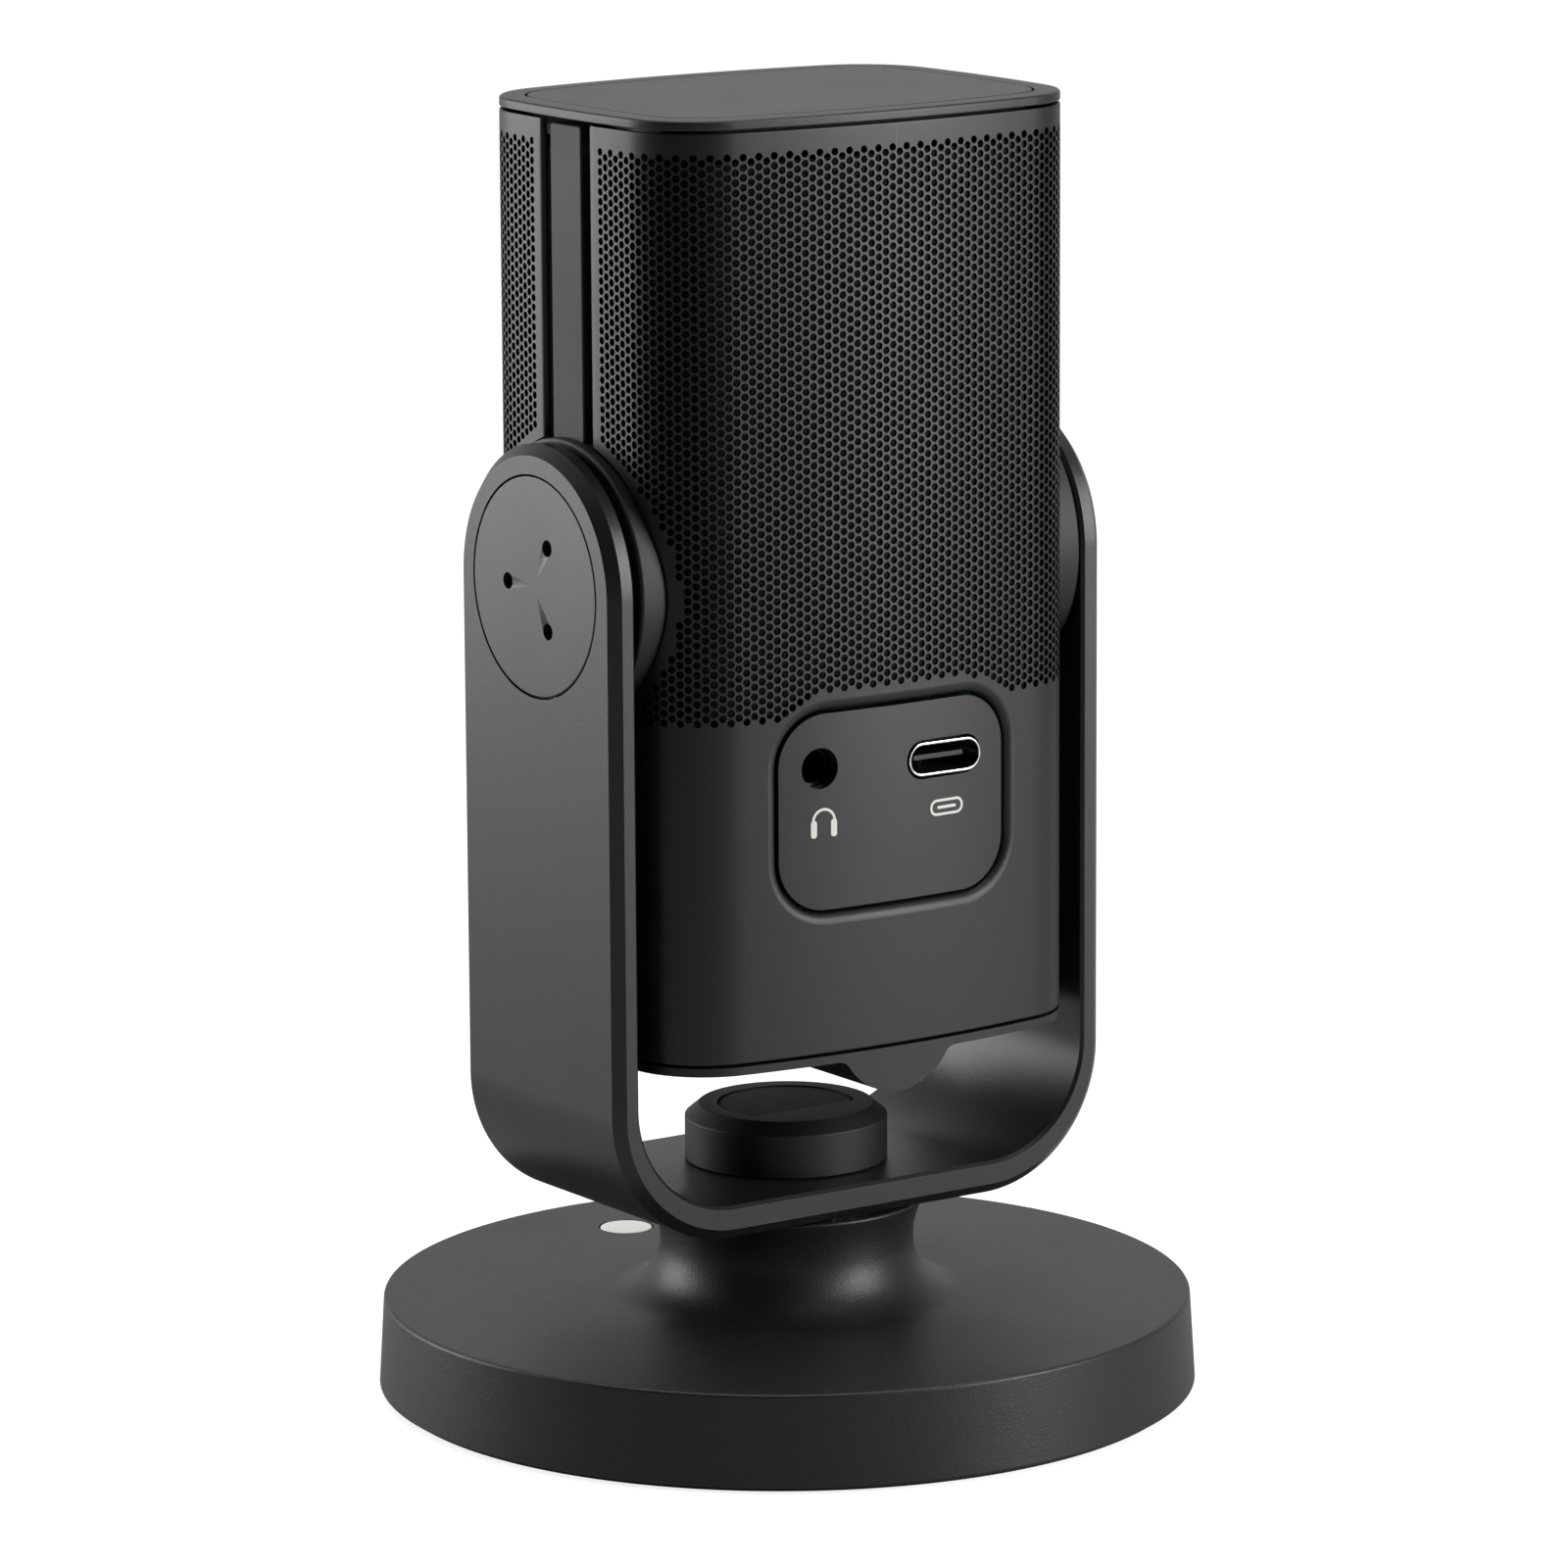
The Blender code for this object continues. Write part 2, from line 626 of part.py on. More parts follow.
def cut_arm(yoke, side):
    """The stepped hole in one arm: cap seat, then flange seat, then the axle's running hole."""
    cap = PIVOT_CAP_DIAMETER / 2 + GROOVE
    flange = AXLE_FLANGE_DIAMETER / 2 + CLEARANCE
    hole = AXLE_DIAMETER / 2 + RUNNING_FIT
    cap_floor = ARM_OUTSIDE - PIVOT_CAP_THICKNESS - SEAT_GAP
    flange_floor = cap_floor - AXLE_FLANGE_THICKNESS - 2 * SEAT_GAP
    start = ARM_OUTSIDE + CUT_OVERRUN
    end = ARM_INSIDE - CUT_OVERRUN
    profile = [(0, start), (cap, start), (cap, cap_floor), (flange, cap_floor)]
    profile += [(flange, flange_floor), (hole, flange_floor), (hole, end), (0, end)]
    axis = "X" if side > 0 else "-X"
    cut(yoke, turned("arm_hole", profile, None, YOKE, (0, 0, PIVOT_HEIGHT), axis))


def build_thread_insert():
    bottom = YOKE_BRIDGE_BOTTOM + CLEARANCE
    bore = STUD_DIAMETER / 2 + CLEARANCE
    profile = ring_profile(INSERT_DIAMETER / 2, bore, INSERT_HEIGHT)
    turned("thread_insert", profile, BRASS, YOKE, (0, 0, bottom + INSERT_HEIGHT / 2), steps=32)


def build_yoke_boss():
    bottom = BRIDGE_TOP + SEAT_GAP
    top = BRIDGE_TOP + BOSS_HEIGHT
    shoulder = top - BOSS_CHAMFER_HEIGHT
    bore = INSERT_DIAMETER / 2 + SEAT_GAP
    wide = BOSS_DIAMETER / 2
    profile = [(0, top), (BOSS_TOP_DIAMETER / 2, top), (wide, shoulder), (wide, bottom)]
    profile += [(bore, bottom), (bore, top - BOSS_ROOF), (0, top - BOSS_ROOF)]
    boss = turned("yoke_boss", profile, PLASTIC, YOKE, (0, 0, 0), steps=40)
    seat = 2 * (BOSS_PAD_THICKNESS + SEAT_GAP)
    cut(boss, slab("pad_seat", [pad_outline(GROOVE)], seat, None, YOKE, (0, 0, top)))


def pad_outline(margin=0.0):
    """A round outline cut straight across its rear side."""
    radius = BOSS_PAD_RADIUS + margin
    chord = BOSS_PAD_CHORD + margin
    turn = math.degrees(math.asin(chord / radius))
    return arc((0, 0), radius, 180 - turn, 360 + turn, 28)


def build_boss_pad():
    height = BRIDGE_TOP + BOSS_HEIGHT - BOSS_PAD_THICKNESS / 2 - SEAT_GAP
    slab("boss_pad", [pad_outline()], BOSS_PAD_THICKNESS, RUBBER, YOKE, (0, 0, height))


def build_pivot_cap(side, name):
    radius = PIVOT_CAP_DIAMETER / 2
    face = ARM_OUTSIDE
    back = face - PIVOT_CAP_THICKNESS
    edge = PIVOT_CAP_EDGE
    profile = [(0, face), (radius - edge, face), (radius, face - edge), (radius, back), (0, back)]
    axis = "X" if side > 0 else "-X"
    cap = turned("pivot_cap_" + name, profile, PAINT, YOKE, (0, 0, PIVOT_HEIGHT), axis)
    for turn in (60, 180, 300):
        y = PIN_HOLE_CIRCLE * math.cos(math.radians(turn))
        z = PIVOT_HEIGHT + PIN_HOLE_CIRCLE * math.sin(math.radians(turn))
        place = (side * (face - PIVOT_CAP_THICKNESS / 2), y, z)
        reach = 3 * PIVOT_CAP_THICKNESS
        cut(cap, rod("pin_hole", PIN_HOLE_DIAMETER / 2, reach, None, YOKE, place, "X", PIN_HOLE_STEPS))


# ---------------------------------------------------------------- pivots and side rails

def build_pivot_axle(side, name):
    flange = AXLE_FLANGE_DIAMETER / 2
    shank = AXLE_DIAMETER / 2
    outside = ARM_OUTSIDE - PIVOT_CAP_THICKNESS - 2 * SEAT_GAP
    inside = outside - AXLE_FLANGE_THICKNESS
    tip = HUB_FACE - HUB_DEPTH + SEAT_GAP
    profile = [(0, outside), (flange, outside), (flange, inside), (shank, inside), (shank, tip), (0, tip)]
    turned("pivot_axle_" + name, profile, STEEL, HEAD, (0, 0, PIVOT_HEIGHT), "X" if side > 0 else "-X", 32)


def build_friction_washer(side, name):
    profile = ring_profile(WASHER_DIAMETER / 2, AXLE_DIAMETER / 2 + SEAT_GAP, WASHER_THICKNESS)
    middle = HUB_FACE + SEAT_GAP + WASHER_THICKNESS / 2
    turned("friction_washer_" + name, profile, PLASTIC, HEAD, (side * middle, 0, PIVOT_HEIGHT), "X", 32)


def build_side_rail(side, name):
    """The strip that covers the seam on one side, with the round hub that carries the axle."""
    radius = HUB_DIAMETER / 2
    back = HUB_FACE - HUB_DEPTH
    profile = [(0, HUB_FACE), (radius - HUB_EDGE, HUB_FACE), (radius, HUB_FACE - HUB_EDGE)]
    profile += [(radius, back), (0, back)]
    axis = "X" if side > 0 else "-X"
    rail = turned("side_rail_" + name, profile, PAINT, HEAD, (0, 0, PIVOT_HEIGHT), axis)
    inner = STRIP_OUTSIDE - STRIP_DEPTH
    ends = sorted((side * inner, side * STRIP_OUTSIDE))
    half = STRIP_WIDTH / 2
    low = (ends[0], -half, SHELL_BOTTOM)
    high = (ends[1], half, SHELL_TOP - CLEARANCE)
    join(rail, block("strip", low, high, None, HEAD))
    hole = AXLE_DIAMETER / 2 + SEAT_GAP
    cut(rail, rod("axle_hole", hole, 4 * HUB_DEPTH, None, HEAD, (side * HUB_FACE, 0, PIVOT_HEIGHT), "X", 32))


# ---------------------------------------------------------------- head shells and caps

def build_shell(name, side):
    """One half of the sheet-metal skin: side is -1 for the front and 1 for the rear."""
    height = SHELL_TOP - SHELL_BOTTOM
    middle = (SHELL_TOP + SHELL_BOTTOM) / 2
    loops = [head_outline(), head_outline(SHELL_THICKNESS)]
    shell = slab(name, loops, height, GRILLE_PAINT, HEAD, (0, 0, middle))
    far = HEAD_WIDTH
    ends = sorted((-side * HEAD_DEPTH, side * SEAM_HALF))
    low = (-far, ends[0], SHELL_BOTTOM - far / 4)
    high = (far, ends[1], SHELL_TOP + far / 4)
    cut(shell, block(name + "_half", low, high, None, HEAD))
    cut(shell, rod(name + "_hubs", HUB_DIAMETER / 2 + CLEARANCE, 2 * HEAD_WIDTH, None, HEAD,
                   (0, 0, PIVOT_HEIGHT), "X", ROUND_STEPS))
    return shell


def build_front_shell():
    shell = build_shell("shell_front", -1)
    cut(shell, knob_well("knob_well_shell"))


def build_rear_shell():
    shell = build_shell("shell_rear", 1)
    width = PANEL_WIDTH + 2 * CLEARANCE
    height = PANEL_HEIGHT + 2 * CLEARANCE
    outline = rounded_rectangle(width, height, PANEL_CORNER + CLEARANCE)
    place = (0, REAR_FACE, PANEL_CENTRE_HEIGHT)
    cut(shell, slab("panel_opening", [outline], 6 * SHELL_THICKNESS, None, HEAD, place, "Y"))


def knob_well(name):
    """The round pocket that the volume knob turns in."""
    depth = KNOB_DEPTH + PUSH_ROOM
    middle = KNOB_FACE + depth / 2
    return rod(name, KNOB_DIAMETER / 2 + CLEARANCE, depth, None, HEAD, (0, middle, KNOB_HEIGHT), "Y", 48)


def build_top_cap():
    rim_bottom = HEAD_TOP - CAP_RIM_HEIGHT
    middle = HEAD_TOP - CAP_RIM_HEIGHT / 2
    cap = slab("top_cap", [head_outline()], CAP_RIM_HEIGHT, PAINT, HEAD, (0, 0, middle))
    soften(cap, CAP_EDGE)
    plug = rounded_rectangle(DECK_WIDTH, HEAD_DEPTH - 2 * CAP_PLUG_MARGIN, DECK_CORNER)
    overlap = CAP_RIM_HEIGHT / 2
    place = (0, 0, rim_bottom + (overlap - CAP_PLUG_DEPTH) / 2)
    join(cap, slab("cap_plug", [plug], CAP_PLUG_DEPTH + overlap, None, HEAD, place))
    seat = 2 * (TOP_PANEL_THICKNESS + SEAT_GAP)
    cut(cap, slab("panel_seat", [head_outline(TOP_PANEL_INSET)], seat, None, HEAD, (0, 0, HEAD_TOP)))


def build_top_panel():
    outline = head_outline(TOP_PANEL_INSET + CLEARANCE)
    height = HEAD_TOP - TOP_PANEL_THICKNESS / 2
    slab("top_panel", [outline], TOP_PANEL_THICKNESS, PAINT, HEAD, (0, 0, height))


def build_bottom_cap():
    middle = HEAD_BOTTOM + BOTTOM_RIM_HEIGHT / 2
    cap = slab("bottom_cap", [head_outline()], BOTTOM_RIM_HEIGHT, PLASTIC, HEAD, (0, 0, middle))
    bump = slab("bump", [bump_outline()], 2 * HEAD_DEPTH, None, HEAD, (0, 0, 0), "Y")
    room = 2 * BUMP_RADIUS
    keep_common(bump, slab("bump_ends", [head_outline()], 2 * room, None, HEAD, (0, 0, HEAD_BOTTOM)))
    join(cap, bump)
    reach = 2 * (REAR_FACE - BUMP_END_WALL)
    hollow = CONTROL_DIAMETER / 2 + CONTROL_ROOM
    cut(cap, rod("bump_hollow", hollow, reach, None, HEAD, (0, 0, KNOB_HEIGHT), "Y", 40))
    cut(cap, knob_well("knob_well_cap"))


# ---------------------------------------------------------------- rear panel and sockets

def build_rear_panel():
    through = 8 * PANEL_THICKNESS
    outline = rounded_rectangle(PANEL_WIDTH, PANEL_HEIGHT, PANEL_CORNER)
    place = (0, REAR_FACE, PANEL_CENTRE_HEIGHT)
    panel = slab("rear_panel", [outline], through, PLASTIC, HEAD, place, "Y")
    skin = [head_outline(PANEL_SINK), head_outline(PANEL_SINK + PANEL_THICKNESS)]
    keep_common(panel, slab("panel_bow", skin, 2 * PANEL_HEIGHT, None, HEAD, (0, 0, PANEL_CENTRE_HEIGHT)))
    jack = (JACK_X, REAR_FACE, JACK_HEIGHT)
    cut(panel, rod("jack_opening", JACK_HOLE / 2, through, None, HEAD, jack, "Y"))
    width = USB_WIDTH + 2 * CLEARANCE
    height = USB_THICKNESS + 2 * CLEARANCE
    slot = rounded_rectangle(width, height, height / 2 * 0.98)
    cut(panel, slab("usb_opening", [slot], through, None, HEAD, (USB_X, REAR_FACE, USB_HEIGHT), "Y"))


def build_headphone_socket():
    front = BOARD_FACE + SEAT_GAP
    rear = PANEL_INNER_FACE - 2 * CLEARANCE - SEAT_GAP
    half = JACK_BODY / 2
    low = (JACK_X - half, front, JACK_HEIGHT - half)
    high = (JACK_X + half, rear, JACK_HEIGHT + half)
    socket = block("headphone_socket", low, high, PLASTIC, HEAD)
    cut(socket, rod("jack_bore", JACK_BORE / 2, 2 * (rear - front - USB_WALL), None, HEAD,
                    (JACK_X, rear, JACK_HEIGHT), "Y"))


def build_usb_shell():
    front = BOARD_FACE + SEAT_GAP
    rear = REAR_FACE - PANEL_SINK
    outer = rounded_rectangle(USB_WIDTH, USB_THICKNESS, USB_THICKNESS / 2 * 0.98)
    inner_height = USB_THICKNESS - 2 * USB_WALL
    inner = rounded_rectangle(USB_WIDTH - 2 * USB_WALL, inner_height, inner_height / 2 * 0.98)
    place = (USB_X, (front + rear) / 2, USB_HEIGHT)
    slab("usb_shell", [outer, inner], rear - front, STEEL, HEAD, place, "Y")


def build_usb_tongue():
    front = BOARD_FACE + SEAT_GAP
    rear = REAR_FACE - PANEL_SINK - PANEL_THICKNESS
    half = USB_TONGUE_WIDTH / 2
    thin = USB_TONGUE_THICKNESS / 2
    low = (USB_X - half, front, USB_HEIGHT - thin)
    high = (USB_X + half, rear, USB_HEIGHT + thin)
    block("usb_tongue", low, high, PLASTIC, HEAD)


# ---------------------------------------------------------------- inside the head

def screw_places():
    x = DECK_WIDTH / 2 - POST_THICKNESS / 2
    heights = (BOARD_BOTTOM + SCREW_MARGIN, DECK_UNDERSIDE - SCREW_MARGIN)
    return [(side * x, height) for height in heights for side in (-1, 1)]


def build_chassis():
    """The inner frame: a deck under the capsule between two posts."""
    depth = DECK_REAR - DECK_FRONT
    outline = rounded_rectangle(DECK_WIDTH, depth, DECK_CORNER)
    place = (0, (DECK_REAR + DECK_FRONT) / 2, DECK_UNDERSIDE + DECK_THICKNESS / 2)
    chassis = slab("chassis", [outline], DECK_THICKNESS, PLASTIC, HEAD, place)
    for side in (-1, 1):
        ends = sorted((side * DECK_WIDTH / 2, side * (DECK_WIDTH / 2 - POST_THICKNESS)))
        low = (ends[0], -POST_HALF_DEPTH, POST_BOTTOM)
        high = (ends[1], POST_HALF_DEPTH, POST_TOP)
        join(chassis, block("post", low, high, None, HEAD))
        foot_high = (ends[1], DECK_REAR, DECK_UNDERSIDE + DECK_THICKNESS / 2)
        join(chassis, block("post_foot", low, foot_high, None, HEAD))
    thread = SCREW_SHANK / 2 + SEAT_GAP
    for x, height in screw_places():
        place = (x, DECK_REAR, height)
        cut(chassis, rod("thread", thread, 2 * SCREW_LENGTH, None, HEAD, place, "Y", TINY_ROUND_STEPS))


def build_main_board():
    half = DECK_WIDTH / 2 - BOARD_INSET
    front = DECK_REAR + CLEARANCE
    low = (-half, front, BOARD_BOTTOM)
    high = (half, front + BOARD_THICKNESS, BOARD_TOP)
    board = block("main_board", low, high, BOARD, HEAD)
    hole = SCREW_SHANK / 2 + CLEARANCE
    for x, height in screw_places():
        place = (x, front, height)
        cut(board, rod("board_hole", hole, 4 * BOARD_THICKNESS, None, HEAD, place, "Y", TINY_ROUND_STEPS))


def build_board_screws():
    seat = BOARD_FACE
    for number, (x, height) in enumerate(screw_places(), start=1):
        head = SCREW_HEAD / 2
        shank = SCREW_SHANK / 2
        profile = [(0, SCREW_HEAD_HEIGHT), (head, SCREW_HEAD_HEIGHT), (head, 0), (shank, 0)]
        profile += [(shank, -SCREW_LENGTH), (0, -SCREW_LENGTH)]
        place = (x, seat, height)
        turned(f"board_screw_{number}", profile, STEEL, HEAD, place, "Y", TINY_ROUND_STEPS)


def build_capsule_bracket():
    hole = CAPSULE_DIAMETER / 2 + MOUNT_RING_THICKNESS + 2 * SEAT_GAP
    half = hole + BRACKET_WALL
    bottom = DECK_UNDERSIDE + DECK_THICKNESS + SEAT_GAP
    low = (-half, -BRACKET_THICKNESS / 2, bottom)
    high = (half, BRACKET_THICKNESS / 2, CAPSULE_HEIGHT + half)
    bracket = block("capsule_bracket", low, high, PLASTIC, HEAD)
    cut(bracket, rod("ring_hole", hole, 2 * BRACKET_THICKNESS, None, HEAD, (0, 0, CAPSULE_HEIGHT), "Y", 32))


def build_capsule_ring():
    inner = CAPSULE_DIAMETER / 2 + SEAT_GAP
    profile = ring_profile(inner + MOUNT_RING_THICKNESS, inner, BRACKET_THICKNESS)
    turned("capsule_ring", profile, RUBBER, HEAD, (0, 0, CAPSULE_HEIGHT), "Y", 32)


def build_capsule_body():
    """A round cup, open to the front, that holds the diaphragm."""
    radius = CAPSULE_DIAMETER / 2
    inner = radius - CAPSULE_WALL
    top = CAPSULE_DEPTH / 2
    floor = top - DIAPHRAGM_THICKNESS - CAPSULE_WALL
    profile = [(0, floor), (inner, floor), (inner, top), (radius, top), (radius, -top), (0, -top)]
    turned("capsule_body", profile, BRASS, HEAD, (0, 0, CAPSULE_HEIGHT), "-Y", 32)


def build_diaphragm():
    radius = CAPSULE_DIAMETER / 2 - CAPSULE_WALL - SEAT_GAP
    floor = CAPSULE_DEPTH / 2 - DIAPHRAGM_THICKNESS - CAPSULE_WALL
    y = -(floor + SEAT_GAP + DIAPHRAGM_THICKNESS / 2)
    rod("diaphragm", radius, DIAPHRAGM_THICKNESS, BRASS, HEAD, (0, y, CAPSULE_HEIGHT), "Y", 32)


def build_foam(name, side):
    """The foam lining behind one half of the grille, clear of the hubs."""
    inset = SHELL_THICKNESS + CLEARANCE
    loops = [head_outline(inset), head_outline(inset + FOAM_THICKNESS)]
    middle = (FOAM_TOP + FOAM_BOTTOM) / 2
    foam = slab(name, loops, FOAM_TOP - FOAM_BOTTOM, FOAM, HEAD, (0, 0, middle))
    far = HEAD_WIDTH
    ends = sorted((-side * HEAD_DEPTH, side * SEAM_HALF))
    low = (-far, ends[0], FOAM_BOTTOM - far / 4)
    high = (far, ends[1], FOAM_TOP + far / 4)
    cut(foam, block(name + "_half", low, high, None, HEAD))
    cut(foam, rod(name + "_hubs", HUB_DIAMETER / 2 + 2 * CLEARANCE, 2 * HEAD_WIDTH, None, HEAD,
                  (0, 0, PIVOT_HEIGHT), "X", ROUND_STEPS))


# ---------------------------------------------------------------- volume control

def build_control_body():
    radius = CONTROL_DIAMETER / 2
    bore = SHAFT_DIAMETER / 2 + RUNNING_FIT
    profile = [(0, -CONTROL_BORE_DEPTH), (bore, -CONTROL_BORE_DEPTH), (bore, 0), (radius, 0)]
    profile += [(radius, -CONTROL_LENGTH), (0, -CONTROL_LENGTH)]
    turned("control_body", profile, PLASTIC, HEAD, (0, CONTROL_FRONT, KNOB_HEIGHT), "-Y", 32)


def build_control_plunger():
    y = CONTROL_FRONT + CONTROL_BORE_DEPTH - PUSH_ROOM - PLUNGER_LENGTH / 2
    place = (0, y, KNOB_HEIGHT)
    rod("control_plunger", PLUNGER_DIAMETER / 2, PLUNGER_LENGTH, PLASTIC, PLUNGER, place, "Y", 16)


def build_control_shaft():
    end = CONTROL_FRONT + CONTROL_BORE_DEPTH - PUSH_ROOM - PLUNGER_LENGTH - CLEARANCE
    middle = end - SHAFT_LENGTH / 2
    rod("control_shaft", SHAFT_DIAMETER / 2, SHAFT_LENGTH, STEEL, KNOB, (0, middle, KNOB_HEIGHT), "Y", 24)


def build_volume_knob():
    radius = KNOB_DIAMETER / 2
    rim = radius - KNOB_EDGE
    bore = SHAFT_DIAMETER / 2 + SEAT_GAP
    shaft_tip = CONTROL_FRONT + CONTROL_BORE_DEPTH - PUSH_ROOM - PLUNGER_LENGTH - CLEARANCE - SHAFT_LENGTH
    bore_end = KNOB_BACK - shaft_tip + SEAT_GAP
    dish = [(rim * step / 3, KNOB_DEPTH - KNOB_DISH * (1 - (step / 3) ** 2)) for step in range(4)]
    side = [(radius, KNOB_DEPTH - KNOB_EDGE), (radius, 0)]
    profile = dish + side + [(bore, 0), (bore, bore_end), (0, bore_end)]
    turned("volume_knob", profile, PLASTIC, KNOB, (0, KNOB_BACK, KNOB_HEIGHT), "-Y", 40)


# ---------------------------------------------------------------- whole object

def build_base():
    build_base_weight()
    build_foot_pad()
    build_front_marker()
    build_stand_magnet()
    build_stand_stud()


def build_yoke_group():
    build_keeper_ring()
    build_yoke()
    build_thread_insert()
    build_yoke_boss()
    build_boss_pad()
    for side, name in SIDES:
        build_pivot_cap(side, name)


def build_head():
    for side, name in SIDES:
        build_pivot_axle(side, name)
        build_friction_washer(side, name)
        build_side_rail(side, name)
    build_front_shell()
    build_rear_shell()
    build_top_cap()
    build_top_panel()
    build_bottom_cap()
    build_rear_panel()
    build_headphone_socket()
    build_usb_shell()
    build_usb_tongue()
    build_chassis()
    build_main_board()
    build_board_screws()
    build_capsule_bracket()
    build_capsule_ring()
    build_capsule_body()
    build_diaphragm()
    build_foam("foam_front", -1)
    build_foam("foam_rear", 1)


def build_volume_control():
    build_control_body()
    build_control_plunger()
    build_control_shaft()
    build_volume_knob()


SIDES = ((-1, "left"), (1, "right"))

clear_scene()
PARTS = new_collection("desktop_microphone")
CUTTERS = new_collection("cutters")

PAINT = new_material("dark_paint", (0.030, 0.030, 0.031), 0.45, 0.3)
GRILLE_PAINT = new_material("grille_paint", (0.022, 0.022, 0.023), 0.42, 0.4)
PLASTIC = new_material("black_plastic", (0.018, 0.018, 0.018), 0.5, 0.0)
RUBBER = new_material("black_rubber", (0.015, 0.015, 0.015), 0.85, 0.0)
MARKER = new_material("cream_marker", (0.75, 0.72, 0.65), 0.5, 0.0)
STEEL = new_material("steel", (0.55, 0.55, 0.56), 0.3, 1.0)
BRASS = new_material("brass", (0.72, 0.52, 0.25), 0.35, 1.0)
BOARD = new_material("circuit_board", (0.02, 0.12, 0.05), 0.5, 0.0)
FOAM = new_material("dark_foam", (0.012, 0.012, 0.012), 1.0, 0.0)

BASE = new_empty("base_origin", None, (0, 0, 0))
SWIVEL = new_empty("lift_axis", BASE, (0, 0, NECK_TOP))
YOKE = new_empty("swivel_axis", SWIVEL, (0, 0, YOKE_BRIDGE_BOTTOM))
HEAD = new_empty("tilt_axis", YOKE, (0, 0, PIVOT_HEIGHT))
PLUNGER = new_empty("push_axis", HEAD, (0, CONTROL_FRONT, KNOB_HEIGHT))
KNOB = new_empty("knob_axis", PLUNGER, (0, KNOB_BACK, KNOB_HEIGHT))

build_base()
build_yoke_group()
build_head()
build_volume_control()
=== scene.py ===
"""Finished surfaces of a desktop microphone on a round stand.

Each operator makes one piece, or one group of like pieces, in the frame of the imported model.
The front faces -Y, the sockets face +Y, and the yoke's pivots lie along X.
"""

import functools
import math

import bmesh
import bpy
import numpy as np
from mathutils import Matrix, Vector


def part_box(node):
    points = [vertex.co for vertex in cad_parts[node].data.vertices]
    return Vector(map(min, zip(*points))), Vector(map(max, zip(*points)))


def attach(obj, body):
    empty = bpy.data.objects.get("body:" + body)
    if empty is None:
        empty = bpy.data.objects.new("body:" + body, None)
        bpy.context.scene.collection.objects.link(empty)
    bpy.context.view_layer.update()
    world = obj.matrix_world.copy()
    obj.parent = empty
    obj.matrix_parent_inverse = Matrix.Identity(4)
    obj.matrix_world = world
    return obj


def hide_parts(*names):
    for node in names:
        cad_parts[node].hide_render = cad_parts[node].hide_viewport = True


bl_info = {
    "name": "Desktop Microphone",
    "version": (1, 0, 0),
    "blender": (4, 5, 0),
    "location": "3D View > Sidebar > Microphone",
    "description": "Builds the finished surfaces of a desktop microphone on a round stand",
    "category": "Add Mesh",
}

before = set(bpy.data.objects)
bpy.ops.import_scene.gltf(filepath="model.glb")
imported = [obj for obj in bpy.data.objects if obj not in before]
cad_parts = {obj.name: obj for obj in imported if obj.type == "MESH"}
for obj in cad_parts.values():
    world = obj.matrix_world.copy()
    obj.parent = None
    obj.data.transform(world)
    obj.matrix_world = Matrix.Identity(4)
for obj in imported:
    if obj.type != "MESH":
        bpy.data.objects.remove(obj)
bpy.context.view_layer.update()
MM = 0.001
FIT_GAP = 0.1 * MM
CUT_GAP = 0.3 * MM
OVERRUN = 1.0 * MM
CORE_RADIUS = 1.0 * MM
AXLE_RADIUS = 2.8 * MM
HUB_DEPTH = 3.6 * MM


# ---------------------------------------------------------------- places read from the frame

@functools.cache
def node_box(node):
    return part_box(node)


def low(node):
    return node_box(node)[0]


def high(node):
    return node_box(node)[1]


def middle(node):
    return (low(node) + high(node)) / 2


HEAD_HALF_WIDTH = high("shell_rear").x
HEAD_HALF_DEPTH = high("shell_rear").y
SHELL_TOP = high("shell_rear").z
SHELL_BOTTOM = low("shell_rear").z
SEAM_HALF = low("shell_rear").y
HEAD_TOP = high("top_cap").z
STRAP_HALF = high("yoke").y
PIVOT_HEIGHT = high("yoke").z - STRAP_HALF
ARM_OUTSIDE = high("yoke").x
HUB_RADIUS = high("side_rail_right").y
HUB_FACE = high("side_rail_right").x
BASE_RADIUS = high("base_weight").x
NECK_TOP = high("base_weight").z
DISC_TOP = high("front_marker").z


# ---------------------------------------------------------------- settings

def length(name, text, value, least=0.0):
    return bpy.props.FloatProperty(
        name=name, description=text, default=value * MM, min=least, unit="LENGTH", precision=5)


def share(name, text, value):
    return bpy.props.FloatProperty(name=name, description=text, default=value, min=0.0, max=1.0)


def colour(name, text, value):
    return bpy.props.FloatVectorProperty(
        name=name, description=text, default=value, min=0.0, max=1.0, size=3, subtype="COLOR")


def angle(name, text, value):
    return bpy.props.FloatProperty(
        name=name, description=text, default=math.radians(value), subtype="ANGLE")


